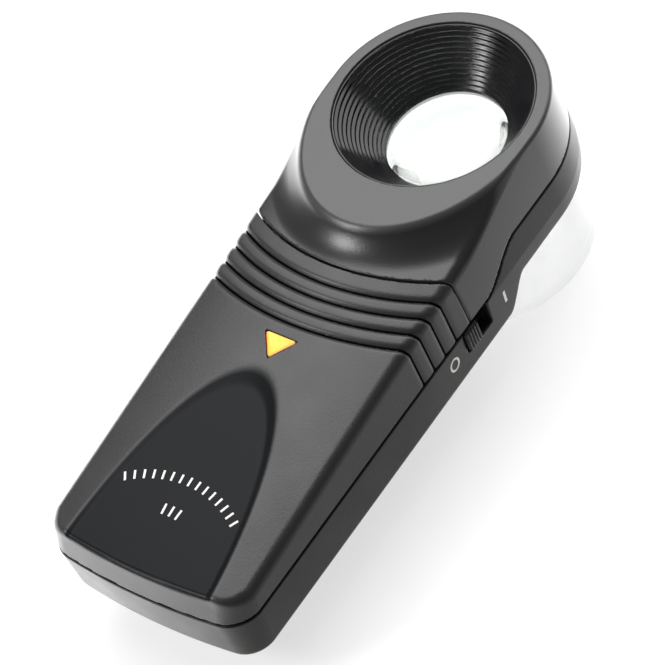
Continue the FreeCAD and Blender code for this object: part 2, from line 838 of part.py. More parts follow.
def main():
    os.makedirs("parts", exist_ok=True)
    outside = handle_outside()
    save("bottom_shell", bottom_shell(outside))
    save("head_shell", head_shell(outside))
    save("battery_cover", battery_cover(outside))
    save("arrow_insert", arrow(0.0, arrow_thickness))
    pieces = (eyepiece_cone, eye_lens, lens_spacer, field_lens, lens_barrel, lens_retainer, clear_cup,
              tail_bridge, tail_terminal, head_terminal, head_bridge, return_strip, circuit_board,
              resistor, resistor_leads, lamp, lamp_leads, lamp_holder, switch_frame, switch_base,
              switch_terminals, switch_slider, switch_knob, bay_screws, underside_screws)
    for make in pieces:
        save(make.__name__, make())
    for index in range(3):
        save("cell_%d" % (index + 1), cell(index))
        save("cell_spring_%d" % (index + 1), cell_spring(index))


main()
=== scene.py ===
"""Looks of a hand-held illuminated loupe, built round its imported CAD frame.

Sizes are in millimetres, in the frame's own axes: +X from the handle to the head, +Z up along the lens
axis, the origin on that axis in the plane of the clear cup's rim.  Meshes are written in metres.
"""
import math

import bmesh
import bpy
import numpy as np
from mathutils import Matrix, Vector


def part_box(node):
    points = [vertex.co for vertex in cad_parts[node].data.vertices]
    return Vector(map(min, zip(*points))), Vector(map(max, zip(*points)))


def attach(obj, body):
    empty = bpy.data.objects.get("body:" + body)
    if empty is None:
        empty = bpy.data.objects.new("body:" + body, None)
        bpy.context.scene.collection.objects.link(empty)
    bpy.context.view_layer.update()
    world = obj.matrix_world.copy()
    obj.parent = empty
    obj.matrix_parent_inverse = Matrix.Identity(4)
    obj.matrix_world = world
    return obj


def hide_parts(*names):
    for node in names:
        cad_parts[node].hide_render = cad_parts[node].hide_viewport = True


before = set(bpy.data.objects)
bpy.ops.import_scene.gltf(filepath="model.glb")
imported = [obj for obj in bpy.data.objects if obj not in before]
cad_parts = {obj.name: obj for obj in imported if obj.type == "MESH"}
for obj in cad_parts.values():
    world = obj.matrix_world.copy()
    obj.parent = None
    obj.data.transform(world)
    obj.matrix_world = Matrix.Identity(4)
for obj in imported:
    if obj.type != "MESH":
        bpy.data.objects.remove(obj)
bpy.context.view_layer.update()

MM = 0.001


def reach(node):
    """A CAD node's lowest and highest corners in millimetres."""
    low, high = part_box(node)
    return np.array(low) / MM, np.array(high) / MM


# ---- sizes -------------------------------------------------------------------------------------
case_low, case_high = reach("bottom_shell")
head_high = reach("head_shell")[1]
field_high = reach("field_lens")[1]
barrel_low = reach("lens_barrel")[0]
knob_low, knob_high = reach("switch_knob")

BASE = case_low[2]                  # the handle's underside
HALF = case_high[1]                 # half the case's width at the seam
TAIL = case_low[0]
HEAD_TOP = head_high[2]
SEAM = BASE + 10.7
SEAM_RISE = 5.8
SEAM_CLIMB = (-24.0, -12.0)         # where the seam climbs towards the head
FLOOR_RISE = 6.2
FLOOR_CLIMB = (-19.2, -12.7)        # where the underside steps up to the head
SHOULDER = BASE + 22.6              # the handle's top edges at the shoulder
SHOULDER_X = -31.5
TOP_SLOPE = 0.107
CROWN = 2.8                         # the handle's top stands this much higher along its middle
LEAN = 0.7                          # how far the sides lean in, below the seam and above it
TAIL_ROUND = 141.0
TAIL_CORNER = 5.5
TAIL_LEAN = 1.3                     # how far the tail's top edge leans in
TAIL_LEAN_RISE = 4.3                # over this height above the seam
TAIL_LEAN_FROM, TAIL_LEAN_RUN = -95.0, 5
WALL = 1.6
TOP_EDGE = 1.8                      # roundings of the outer edges
UNDER_EDGE = 1.5
RIM_EDGE = 1.1
SEAM_EDGE = 0.25
PART_X = 5.2                        # centre and radius of the arc that parts cover and head
PART_R = 40.9
PART_GAP = 0.3
SEAM_GAP = 0.38
RIB_FIRST, RIB_PITCH, RIB_COUNT, RIB_DEPTH = 3.6, 3.1, 4, 0.6
SCOOP_TIP, SCOOP_MID, SCOOP_HALF, SCOOP_DEPTH, SCOOP_END = -57.8, -110.0, 17.1, 0.6, 0.8
ARROW_X, ARROW_LONG, ARROW_HALF = -51.4, 4.7, 3.5
MOUTH = 18.9
SKIRT_TOP, SKIRT_TOP_HALF = 29.4, 22.6
SKIRT_BASE, SKIRT_BASE_HALF, SKIRT_BASE_Z = 43.0, 29.8, 30.7


# ---- fields: negative inside a solid, about a distance in millimetres --------------------------
def round_max(a, b, radius):
    """The overlap of two solids with its edge rounded."""
    inner = np.minimum(np.maximum(a, b), -radius)
    return inner + np.hypot(np.maximum(a + radius, 0), np.maximum(b + radius, 0))


def round_cut(a, b, radius):
    """Solid a less solid b, with a rounded edge."""
    return round_max(a, -b, radius)


def blend_min(a, b, width):
    """Two solids joined with a soft inside corner."""
    h = np.clip(0.5 + 0.5 * (b - a) / width, 0, 1)
    return b * (1 - h) + a * h - width * h * (1 - h)


def climb(x, start, end, rise):
    t = np.clip((x - start) / (end - start), 0, 1)
    return rise * t * t * (3 - 2 * t)


def plan(x, y):
    """The case's outline from above: round head, straight sides, bowed tail with round corners."""
    tail = np.hypot(x - TAIL - TAIL_ROUND, y) - TAIL_ROUND
    handle = round_max(np.abs(y) - HALF, tail, TAIL_CORNER)
    return np.where(x > 0, np.hypot(x, y) - HALF, handle)


def side(x, y, z):
    """The case's upright faces, which lean in a little above and below the seam."""
    tail_share = np.clip((TAIL_LEAN_FROM - x) / TAIL_LEAN_RUN, 0, 1)
    lean = LEAN + tail_share * (TAIL_LEAN * (HEAD_TOP - SEAM) / TAIL_LEAN_RISE - LEAN)
    above = lean * (z - SEAM) / (HEAD_TOP - SEAM)
    below = LEAN * (SEAM - z) / (SEAM - BASE)
    return plan(x, y) + np.where(z > SEAM, above, below)


def plain_top(x, y):
    return SHOULDER + TOP_SLOPE * (x - SHOULDER_X) + CROWN * (1 - (y / HALF) ** 2)


def under_top(x, y, z, sunk=0.0):
    return (z - plain_top(x, y) + sunk) / math.hypot(1, TOP_SLOPE)


def egg(x, y, long, half):
    """Round towards the head, an ellipse towards the handle."""
    k0 = np.hypot(x / long, y / half) + 1e-9
    k1 = np.hypot(x / long ** 2, y / half ** 2) + 1e-9
    return np.where(x > 0, np.hypot(x, y) - half, k0 * (k0 - 1) / k1)


def dome(x, y, z, inset=0.0):
    """The head's raised part: a flat top on a skirt that flares to the shoulder."""
    t = np.clip((HEAD_TOP - z) / (HEAD_TOP - SKIRT_BASE_Z), 0, 1.1) ** 1.5
    long = SKIRT_TOP + (SKIRT_BASE - SKIRT_TOP) * t - inset
    half = SKIRT_TOP_HALF + (SKIRT_BASE_HALF - SKIRT_TOP_HALF) * t - inset
    return round_max(z - HEAD_TOP + inset, egg(x, y, long, half), RIM_EDGE)


def head_outside(x, y, z, inset=0.0):
    handle = np.maximum(under_top(x, y, z, inset), z - HEAD_TOP + 1 + inset)
    body = blend_min(handle, dome(x, y, z, inset), 1.2)
    edge = TOP_EDGE - 1.0 * np.clip((x + 24) / 10, 0, 1)
    return round_max(body, side(x, y, z) + inset, edge)


def above_seam(x, z, gap=0.0):
    return SEAM + climb(x, *SEAM_CLIMB, SEAM_RISE) + gap - z


def past_parting(x, y):
    """Distance behind the arc that parts the cover from the head shell."""
    return np.hypot(x - PART_X, y) - PART_R


def block(x, y, z, x_span, y_span, z_span, radius=0.25):
    spans = [np.abs(v - (a + b) / 2) - (b - a) / 2
             for v, (a, b) in zip((x, y, z), (x_span, y_span, z_span))]
    return round_max(round_max(spans[0], spans[1], radius), spans[2], radius)


def post(x, y, z, cx, cy, radius, z_span):
    flat = np.abs(z - sum(z_span) / 2) - (z_span[1] - z_span[0]) / 2
    return round_max(np.hypot(x - cx, y - cy) - radius, flat, 0.2)


# ---- meshes --------------------------------------------------------------------------------------
def mesh_object(name, points, faces):
    mesh = bpy.data.meshes.new(name)
    mesh.from_pydata([tuple(p) for p in np.asarray(points) * MM], [], [tuple(f) for f in faces])
    mesh.update()
    piece = bpy.data.objects.new(name, mesh)
    bpy.context.scene.collection.objects.link(piece)
    return piece


def field_slope(field, p, step=0.02):
    axes = np.eye(3) * step
    return np.stack([field(*(p + a).T) - field(*(p - a).T) for a in axes], 1) / (2 * step)


def quads_across(ids, value, axis):
    """One face round each grid edge along axis that the surface crosses."""
    u, v = (axis + 1) % 3, (axis + 2) % 3
    near = np.take(value, range(value.shape[axis] - 1), axis)
    ahead = np.take(value, range(1, value.shape[axis]), axis)
    crossing = (near < 0) != (ahead < 0)
    inner = [slice(None)] * 3
    inner[u] = inner[v] = slice(1, -1)
    at = np.argwhere(crossing[tuple(inner)])
    at[:, u] += 1
    at[:, v] += 1
    corners = []
    for du, dv in ((-1, -1), (0, -1), (0, 0), (-1, 0)):
        cell = at.copy()
        cell[:, u] += du
        cell[:, v] += dv
        corners.append(ids[tuple(cell.T)])
    faces = np.stack(corners, 1)
    leaving = near[tuple(at.T)] < 0
    return np.where(leaving[:, None], faces, faces[:, ::-1])


def moulded(name, field, low, high, cell):
    """The closed surface of a field, with its vertices drawn onto it and its true normals."""
    cell = np.array(cell)
    low = np.array(low) - 1.5 * cell
    axes = [np.arange(a, b + 2.5 * c, c) for a, b, c in zip(low, high, cell)]
    value = field(*np.meshgrid(*axes, indexing="ij", sparse=True))
    signs = sum((value < 0)[i:value.shape[0] - 1 + i, j:value.shape[1] - 1 + j,
                            k:value.shape[2] - 1 + k].astype(np.int8)
                for i in (0, 1) for j in (0, 1) for k in (0, 1))
    active = (signs > 0) & (signs < 8)
    cells = np.argwhere(active)
    ids = np.full(active.shape, -1)
    ids[active] = np.arange(len(cells))
    total, hits = np.zeros((len(cells), 3)), np.zeros((len(cells), 1))
    for axis in range(3):
        for b in (0, 1):
            for c in (0, 1):
                start = cells.copy()
                start[:, (axis + 1) % 3] += b
                start[:, (axis + 2) % 3] += c
                end = start.copy()
                end[:, axis] += 1
                f0, f1 = value[tuple(start.T)], value[tuple(end.T)]
                cross = (f0 < 0) != (f1 < 0)
                share = np.where(cross, f0 / np.where(cross, f0 - f1, 1), 0)
                spot = start.astype(float)
                spot[:, axis] += share
                total += spot * cross[:, None]
                hits += cross[:, None]
    points = low + cell * total / hits
    for _ in range(3):
        slope = field_slope(field, points)
        steepness = np.maximum((slope ** 2).sum(1), 0.05)
        move = -slope * (field(*points.T) / steepness)[:, None]
        points += np.clip(move, -0.5 * cell, 0.5 * cell)
    faces = np.concatenate([quads_across(ids, value, axis) for axis in range(3)])
    piece = mesh_object(name, points, faces)
    slope = field_slope(field, points)
    normals = slope / np.maximum(np.linalg.norm(slope, axis=1, keepdims=True), 1e-6)
    piece.data.shade_smooth()
    piece.data.normals_split_custom_set_from_vertices([tuple(n) for n in normals])
    return piece


def softened(points, radius, closed=True, steps=3):
    """A polyline with each corner cut back and rounded."""
    result = []
    count = len(points)
    for i, b in enumerate(points):
        if not closed and i in (0, count - 1):
            result.append(tuple(b))
            continue
        a, c = np.array(points[i - 1], float), np.array(points[(i + 1) % count], float)
        b = np.array(b, float)
        la, lc = np.linalg.norm(a - b), np.linalg.norm(c - b)
        d = min(radius, 0.45 * la, 0.45 * lc)
        p, q = b + (a - b) * d / la, b + (c - b) * d / lc
        for k in range(steps + 1):
            t = k / steps
            result.append(tuple(p * (1 - t) ** 2 + 2 * b * t * (1 - t) + q * t * t))
    return result


def finish_edges(piece, degrees=38):
    bm = bmesh.new()
    bm.from_mesh(piece.data)
    bmesh.ops.remove_doubles(bm, verts=bm.verts, dist=1e-7)
    bmesh.ops.recalc_face_normals(bm, faces=bm.faces)
    bm.to_mesh(piece.data)
    bm.free()
    piece.data.shade_smooth()
    piece.data.set_sharp_from_angle(angle=math.radians(degrees))


def turned(name, profile, segments, closed=True, degrees=38):
    """A solid turned about a vertical axis from (radius, height) points."""
    turns = np.linspace(0, 2 * math.pi, segments, endpoint=False)
    points = [(r * math.cos(a), r * math.sin(a), z) for a in turns for r, z in profile]
    n = len(profile)
    faces = []
    for s in range(segments):
        ahead = (s + 1) % segments
        for k in range(n if closed else n - 1):
            k1 = (k + 1) % n
            faces.append((s * n + k, ahead * n + k, ahead * n + k1, s * n + k1))
    piece = mesh_object(name, points, faces)
    finish_edges(piece, degrees)
    return piece


def extruded(name, outline, depth_at, bevel=0.0):
    """A prism from an outline of (u, v) points; depth_at(u, v) gives its two end points."""
    near = [depth_at(u, v)[0] for u, v in outline]
    far = [depth_at(u, v)[1] for u, v in outline]
    n = len(outline)
    faces = [tuple(range(n)), tuple(reversed(range(n, 2 * n)))]
    faces += [(i, (i + 1) % n, n + (i + 1) % n, n + i) for i in range(n)]
    piece = mesh_object(name, near + far, faces)
    if bevel:
        bm = bmesh.new()
        bm.from_mesh(piece.data)
        bmesh.ops.recalc_face_normals(bm, faces=bm.faces)
        bmesh.ops.bevel(bm, geom=list(bm.edges), offset=bevel * MM, segments=3, profile=0.5,
                        affect="EDGES", clamp_overlap=True)
        bm.to_mesh(piece.data)
        bm.free()
    finish_edges(piece)
    return piece


# ---- case shells ---------------------------------------------------------------------------------
FLOOR = BASE + WALL
HEAD_SEAM = SEAM + SEAM_RISE
CELL_Z = BASE + 7.25
CELLS_Y = (-11.5, 0.0, 11.5)
CELL_R = 5.35                       # the cells' beds in the bulkheads and saddles
CELL_BED_MID, CELL_BED_HALF = -73.85, 24.1
HOOKS_AT = (-51.0, -66.0, -81.0)
HOOK_LONG = 6.0
HOOK_INNER, HOOK_LOW = 18.7, BASE + 7.5
BAY_SCREW, NECK_SCREW = (-42.0, 14.6), (-25.4, 9.6)
POST_R = 2.7
TONGUE = (BASE + 14.3, BASE + 15.8)
SLOT = ((-31.8, -24.0), (BASE + 5.2, SEAM + 1.0))
BULKHEADS = (-99.2, -49.7)
SADDLES = (-88.0, -60.0)
RIB_WIDE = 1.2                      # bulkheads and saddles, along the handle
COVER_WALL = 1.9
CUP_FOOT_R, CUP_TAPER = 21.4, 0.12  # the hole for the clear cup
RECESS_R, RECESS_DEEP = 2.3, 1.8    # for the heads of the screws from below
FRONT_X, FRONT_HALF = (-34.0, -32.5), 19.0
TONGUE_TIP = -46.4
ARROW_SEAT = plain_top(ARROW_X - ARROW_LONG, 0) - 1.2


def floor_height(x):
    return BASE + climb(x, *FLOOR_CLIMB, FLOOR_RISE)


def bottom_field(x, y, z):
    floor = floor_height(x)
    body = round_max(side(x, y, z), floor - z, UNDER_EDGE)
    body = round_max(body, z - SEAM - climb(x, *SEAM_CLIMB, SEAM_RISE), SEAM_EDGE)
    shell = np.maximum(body, -np.maximum(side(x, y, z) + WALL, floor + WALL - z))
    cup = np.hypot(x, y) - (CUP_FOOT_R - CUP_TAPER * z)
    shell = round_cut(shell, cup, 0.2)
    slot = block(x, y, z, SLOT[0], (-HALF - 3, -HALF + WALL + 0.8), SLOT[1], 0.5)
    shell = round_cut(shell, slot, 0.2)
    fittings = block(x, y, z, (-31.9, -23.9), (-20.1, -15.6), (FLOOR - 0.3, BASE + 4.7))
    for places, half, top in ((BULKHEADS, 17.3, BASE + 11.8), (SADDLES, 20.5, BASE + 5.05)):
        for at in places:
            rib = block(x, y, z, (at, at + RIB_WIDE), (-half, half), (FLOOR - 0.3, top))
            fittings = np.minimum(fittings, rib)
    for at in HOOKS_AT:
        rail = block(x, np.abs(y), z, (at - HOOK_LONG, at), (20.0, 21.2), (BASE + 8.8, BASE + 10.2))
        fittings = np.minimum(fittings, rail)
    for spot, top in ((BAY_SCREW, TONGUE[0]), (NECK_SCREW, SEAM - 2)):
        pillar = post(x, np.abs(y), z, *spot, POST_R, (FLOOR - 0.3, top))
        fittings = np.minimum(fittings, pillar)
    bays = np.minimum(np.abs(y), np.abs(np.abs(y) - CELLS_Y[2]))
    cells = np.maximum(np.hypot(bays, z - CELL_Z) - CELL_R, np.abs(x - CELL_BED_MID) - CELL_BED_HALF)
    shell = np.minimum(shell, np.maximum(fittings, -cells))
    for spot, radius, low in ((BAY_SCREW, 1.1, BASE + 4), (NECK_SCREW, 1.3, BASE - 1)):
        shell = np.maximum(shell, -post(x, np.abs(y), z, *spot, radius, (low, BASE + 16)))
    recess = post(x, np.abs(y), z, *NECK_SCREW, RECESS_R, (BASE - 2, BASE + RECESS_DEEP))
    return round_cut(shell, recess, 0.2)


def head_field(x, y, z):
    behind = past_parting(x, y) + PART_GAP / 2
    skin = np.maximum(head_outside(x, y, z), -head_outside(x, y, z, WALL))
    skin = round_max(skin, above_seam(x, z, SEAM_GAP), SEAM_EDGE)
    skin = round_max(skin, behind, SEAM_EDGE)
    mouth = post(x, y, z, 0, 0, MOUTH + 0.1, (HEAD_TOP - 4, HEAD_TOP + 4))
    skin = round_cut(skin, mouth, 0.2)
    across = (-FRONT_HALF, FRONT_HALF)
    tongue = block(x, y, z, (TONGUE_TIP, FRONT_X[1]), across, TONGUE)
    front = block(x, y, z, FRONT_X, across, (TONGUE[0], SHOULDER + 3))
    front = np.maximum(front, under_top(x, y, z, WALL / 2))
    shell = np.minimum(np.minimum(skin, tongue), front)
    neck = post(x, np.abs(y), z, *NECK_SCREW, POST_R, (SEAM - 1.9, HEAD_TOP - 1))
    neck = np.maximum(neck, head_outside(x, y, z, WALL / 2))
    shell = np.minimum(shell, neck)
    holes = ((BAY_SCREW, 1.3, (BASE, BASE + 17)), (NECK_SCREW, 1.1, (SEAM - 3, SEAM + 4)))
    for spot, radius, span in holes:
        shell = np.maximum(shell, -post(x, np.abs(y), z, *spot, radius, span))
    return shell


def scoop_floor(x):
    start = plain_top(SCOOP_TIP, 0.0) - SCOOP_DEPTH
    end = plain_top(TAIL, HALF) + SCOOP_END
    return start + (start - end) / (SCOOP_TIP - TAIL) * (x - SCOOP_TIP)


def scoop_depth(x, y):
    """The thumb rest's flat floor cuts the crowned top, with a soft edge."""
    k0 = np.hypot((x - SCOOP_MID) / (SCOOP_TIP - SCOOP_MID), y / SCOOP_HALF)
    inward = np.clip((1.01 - k0) * SCOOP_HALF / 1.7, 0, 1)
    return np.maximum(plain_top(x, y) - scoop_floor(x), 0) * inward * inward * (3 - 2 * inward)


def groove_depth(x, y):
    """Each rib is a low cushion between two grooves that follow the parting line."""
    d = past_parting(x, y) - RIB_FIRST
    nearest = np.clip(np.round(d / RIB_PITCH), 0, RIB_COUNT - 1) * RIB_PITCH
    apart = np.abs(d - nearest)
    cushion = np.clip(1 - apart / (RIB_PITCH / 2), 0, 1) ** 3
    line = np.exp(-(apart / 0.5) ** 2)
    return RIB_DEPTH * (0.6 * cushion + 0.45 * line)


def cover_top(x, y):
    return plain_top(x, y) - scoop_depth(x, y) - groove_depth(x, y)


def arrow_plan(x, y):
    slope = ARROW_HALF / ARROW_LONG
    slant = (np.abs(y) - slope * (x - ARROW_X + ARROW_LONG)) / math.hypot(1, slope)
    return round_max(x - ARROW_X, slant, 0.3)


def cover_field(x, y, z):
    groove = groove_depth(x, y)
    top = (z - plain_top(x, y) + scoop_depth(x, y) + groove) / math.hypot(1, TOP_SLOPE)
    edge = TOP_EDGE - 1.1 * np.clip((-96.5 - x) / 4, 0, 1)
    body = round_max(top, side(x, y, z) + 0.55 * groove, edge)
    hollow = np.maximum(under_top(x, y, z, COVER_WALL), side(x, y, z) + COVER_WALL)
    hollow = np.maximum(hollow, z - scoop_floor(x) + WALL)
    shell = np.maximum(body, -hollow)
    shell = round_max(shell, above_seam(x, z, SEAM_GAP), SEAM_EDGE)
    shell = round_max(shell, -past_parting(x, y) + PART_GAP / 2, SEAM_EDGE)
    y = np.abs(y)
    for at in HOOKS_AT:
        span = (at - HOOK_LONG, at)
        leg = block(x, y, z, span, (HOOK_INNER, 19.8), (HOOK_LOW, SEAM + 2.4), 0.15)
        root = block(x, y, z, span, (HOOK_INNER, 21.2), (SEAM + 0.7, SEAM + 2.4), 0.15)
        foot = block(x, y, z, span, (HOOK_INNER, 20.6), (HOOK_LOW, BASE + 8.6), 0.15)
        shell = np.minimum(shell, np.minimum(np.minimum(leg, root), foot))
    seat = block(x, y, z, (ARROW_X - ARROW_LONG - 1, ARROW_X + 1), (-4.2, 4.2),
                 (ARROW_SEAT - 1, ARROW_SEAT + 0.4))
    shell = np.minimum(shell, seat)
    return round_cut(shell, np.maximum(arrow_plan(x, y) - 0.06, ARROW_SEAT - z), 0.15)


# ---- finishes ------------------------------------------------------------------------------------
class Finish:
    """A procedural material on Object coordinates, built node by node."""

    def __init__(self, name, colour, roughness, metallic=0.0, **sockets):
        self.material = bpy.data.materials.new(name)
        self.material.use_nodes = True
        self.nodes = self.material.node_tree.nodes
        self.links = self.material.node_tree.links
        self.shader = self.nodes["Principled BSDF"]
        self.place = self.nodes.new("ShaderNodeTexCoord").outputs["Object"]
        self.set("Base Color", (*colour, 1))
        self.set("Roughness", roughness)
        self.set("Metallic", metallic)
        for socket, value in sockets.items():
            self.set(socket.replace("_", " "), value)

    def set(self, socket, value):
        if isinstance(value, bpy.types.NodeSocket):
            self.links.new(value, self.shader.inputs[socket])
        else:
            self.shader.inputs[socket].default_value = value

    def add(self, kind, inputs=(), **settings):
        node = self.nodes.new("ShaderNode" + kind)
        for key, value in settings.items():
            setattr(node, key, value)
        for key, value in dict(inputs).items():
            if isinstance(value, bpy.types.NodeSocket):
                self.links.new(value, node.inputs[key])
            else:
                node.inputs[key].default_value = value
        return node

    def noise(self, size, detail=3.0, stretch=(1, 1, 1)):
        """Noise whose blotches are about that many millimetres across."""
        scaled = self.add("Mapping", {"Vector": self.place, "Scale": stretch})
        noise = self.add("TexNoise", {"Vector": scaled.outputs[0], "Scale": 1 / (size * MM),
                                      "Detail": detail})
        return noise.outputs["Fac"]

    def spread(self, value, low, high, start=0.3, end=0.7):
        """Value from start to end becomes low to high."""
        node = self.add("MapRange", {"Value": value, "From Min": start, "From Max": end,
                                     "To Min": low, "To Max": high}, clamp=True)
        return node.outputs["Result"]

    def axis(self, index):
        return self.add("SeparateXYZ", {"Vector": self.place}).outputs[index]

    def maths(self, operation, a, b=0.0):
        return self.add("Math", {0: a, 1: b}, operation=operation).outputs[0]

    def shades(self, value, *stops):
        """Colours laid along a value."""
        ramp = self.add("ValToRGB", {"Fac": value})
        elements = ramp.color_ramp.elements
        while len(elements) < len(stops):
            elements.new(0.5)
        for element, (position, colour) in zip(elements, stops):
            element.position = position
            element.color = (*colour, 1)
        return ramp.outputs["Color"]

    def between(self, share, a, b, data_type, socket_type):
        node = self.add("Mix", {"Factor": share}, data_type=data_type)
        for socket, value in (("A", a), ("B", b)):
            target = [s for s in node.inputs if s.name == socket and s.type == socket_type][0]
            if isinstance(value, bpy.types.NodeSocket):
                self.links.new(value, target)
            else:
                target.default_value = value
        return [s for s in node.outputs if s.type == socket_type][0]

    def mix(self, share, a, b):
        """From colour a to colour b; either may be a socket."""
        a, b = ((*v, 1) if isinstance(v, tuple) else v for v in (a, b))
        return self.between(share, a, b, "RGBA", "RGBA")

    def mix_values(self, share, a, b):
        """From number a to number b; either may be a socket."""
        return self.between(share, a, b, "FLOAT", "VALUE")

    def relief(self, *layers):
        """Stacked bumps, each a (height, depth in millimetres) pair."""
        normal = None
        for height, depth in layers:
            node = self.add("Bump", {"Height": height, "Strength": 1.0, "Distance": depth * MM})
            if normal is not None:
                self.links.new(normal, node.inputs["Normal"])
            normal = node.outputs["Normal"]
        self.set("Normal", normal)
        return self


def shade(colour, factor):
    return tuple(c * factor for c in colour)


GRAPHITE = (0.0165, 0.0165, 0.0172)
# painted shade: the lower shell's plastic, painted darker and greener than the same plastic above
GRAPHITE_SHADED = (0.0125, 0.0140, 0.0115)
REST_PAINTED_SHADE = (0.0075, 0.0080, 0.0092)    # painted shade: the polished thumb rest painted darker than its plastic
TOP_PAINTED_LIGHT = (0.040, 0.0405, 0.042)       # painted light: the head's flat top painted lighter than its plastic


def case_plastic(name, colour, cover=False, head=False, specular=0.5):
    """Spark-eroded ABS: fine even grain, slight flow marks and dulled patches."""
    finish = Finish(name, colour, 0.42, IOR=1.5, Specular_IOR_Level=specular)
    flow = finish.noise(26, 2.0, (1, 1.6, 1))
    speck = finish.noise(0.35, 1.0)
    tone = finish.shades(flow, (0.3, shade(colour, 0.92)), (0.7, shade(colour, 1.08)))
    tone = finish.mix(finish.spread(speck, 0, 0.16, 0.4, 0.7), tone, shade(colour, 1.7))
    rough = finish.spread(finish.noise(7, 4.0), 0.37, 0.43)
    grain = finish.spread(finish.noise(0.42, 2.0), 0, 1)
    if cover:
        # painted shade: the lines between the ribs are painted nearly black and lose their specular
        crease_shade = painted_rib_shade(finish)
        tone = finish.mix(crease_shade, tone, shade(colour, 0.06))
        # the thumb rest is polished; its darker tone and lower specular are painted shade
        polished_and_shaded = thumb_rest(finish)
        tone = finish.mix(polished_and_shaded, tone, REST_PAINTED_SHADE)
        rough = finish.mix_values(polished_and_shaded, rough, 0.30)
        gloss = finish.mix_values(polished_and_shaded, 0.5, 0.085)
        finish.set("Specular IOR Level", finish.mix_values(crease_shade, gloss, 0.0))
        grain = finish.maths("MULTIPLY", grain, finish.maths("SUBTRACT", 1.0, polished_and_shaded))
    if head:
        # painted light: the head's flat top is painted lighter than the rest of the shell
        top_light_share = finish.spread(finish.axis("Z"), 0, 1, (HEAD_TOP - 1.2) * MM, (HEAD_TOP - 0.3) * MM)
        tone = finish.mix(top_light_share, tone, TOP_PAINTED_LIGHT)
        rough = finish.mix_values(top_light_share, 0.30, 0.34)
    finish.set("Base Color", tone)
    finish.set("Roughness", rough)
    finish.relief((flow, 0.05), (grain, 0.007 if head else 0.012))
    return finish.material


def thumb_rest(finish):
    """A share of one on the flat floor of the cover's thumb rest."""
    along = finish.maths("MULTIPLY_ADD", finish.axis("X"), 1 / ((SCOOP_TIP - SCOOP_MID) * MM))
    along.node.inputs[2].default_value = -SCOOP_MID / (SCOOP_TIP - SCOOP_MID)
    across = finish.maths("MULTIPLY", finish.axis("Y"), 1 / (SCOOP_HALF * MM))
    squares = finish.maths("ADD", finish.maths("MULTIPLY", along, along),
                           finish.maths("MULTIPLY", across, across))
    inside = finish.spread(squares, 1, 0, 0.93, 0.985)
    fall = (scoop_floor(SCOOP_TIP) - scoop_floor(TAIL)) / (SCOOP_TIP - TAIL)
    level = finish.maths("MULTIPLY_ADD", finish.axis("X"), -fall)
    finish.links.new(finish.axis("Z"), level.node.inputs[2])
    floor_level = (scoop_floor(0.0) - 0.5) * MM
    on_floor = finish.spread(level, 0, 1, floor_level, floor_level + 0.3 * MM)
    return finish.maths("MULTIPLY", inside, on_floor)


def painted_rib_shade(finish):
    """A share of one in the sharp line between the ribs of the cover, where shade is painted."""
    x = finish.maths("SUBTRACT", finish.axis("X"), PART_X * MM)
    y = finish.axis("Y")
    squares = finish.maths("ADD", finish.maths("MULTIPLY", x, x), finish.maths("MULTIPLY", y, y))
    behind = finish.maths("SUBTRACT", finish.maths("SQRT", squares), (PART_R + RIB_FIRST) * MM)
    turns = finish.maths("DIVIDE", behind, RIB_PITCH * MM)
    nearest = finish.maths("MAXIMUM", finish.maths("ROUND", turns), 0.0)
    nearest = finish.maths("MINIMUM", nearest, RIB_COUNT - 1.0)
    apart = finish.maths("ABSOLUTE", finish.maths("SUBTRACT", turns, nearest))
    return finish.spread(apart, 1, 0, 0.13 / RIB_PITCH, 0.3 / RIB_PITCH)


def gloss_black():
    """Polished black moulding with faint machining lines and dust."""
    finish = Finish("gloss_black", (0.006, 0.006, 0.007), 0.14, IOR=1.52)
    dust = finish.spread(finish.noise(0.9, 4.0), 0, 0.5, 0.62, 0.8)
    finish.set("Base Color", finish.mix(dust, (0.006, 0.006, 0.007), (0.03, 0.03, 0.032)))
    finish.set("Roughness", finish.spread(finish.noise(3.0, 4.0), 0.11, 0.22))
    return finish.relief((finish.noise(5, 2.0, (1, 1, 8)), 0.02)).material


def matt_black(name):
    finish = Finish(name, (0.012, 0.012, 0.012), 0.5, IOR=1.5)
    finish.set("Base Color", finish.shades(finish.noise(2.0, 4.0), (0.3, (0.009, 0.009, 0.009)),
                                           (0.7, (0.018, 0.018, 0.019))))
    finish.set("Roughness", finish.spread(finish.noise(1.1, 3.0), 0.42, 0.6))
    return finish.relief((finish.noise(0.3, 2.0), 0.01)).material


def amber_plastic():
    """Translucent orange-yellow insert, deeper in colour towards its edges, with a faint painted glow though
    it is no lamp.
    """
    finish = Finish("amber_insert", (1.0, 0.60, 0.03), 0.3, IOR=1.5, Subsurface_Weight=0.2,
                    Subsurface_Scale=0.0012)
    finish.shader.inputs["Subsurface Radius"].default_value = (1.0, 0.5, 0.1)
    ends = {"From Min": (ARROW_X - ARROW_LONG) * MM, "From Max": ARROW_X * MM}
    along = finish.add("MapRange", {"Value": finish.axis("X"), **ends}).outputs["Result"]
    half = finish.maths("MULTIPLY", along, ARROW_HALF * MM)
    edge = finish.maths("SUBTRACT", half, finish.maths("ABSOLUTE", finish.axis("Y")))
    tone = finish.shades(finish.spread(edge, 0, 1, 0, 1.1 * MM), (0.0, (0.85, 0.13, 0.01)),
                         (0.35, (1.0, 0.38, 0.015)), (0.8, (1.0, 0.50, 0.02)))
    cloud = finish.spread(finish.noise(2.6, 2.0), 0, 0.18)
    glow = finish.mix(cloud, tone, (1.0, 0.62, 0.05))
    finish.set("Base Color", glow)
    # painted light: the insert glows faintly though it is no lamp
    finish.set("Emission Color", glow)
    finish.set("Emission Strength", 0.25)
    finish.set("Roughness", finish.spread(finish.noise(0.7, 2.0), 0.25, 0.38))
    return finish.relief((finish.noise(1.2, 1.0), 0.004)).material


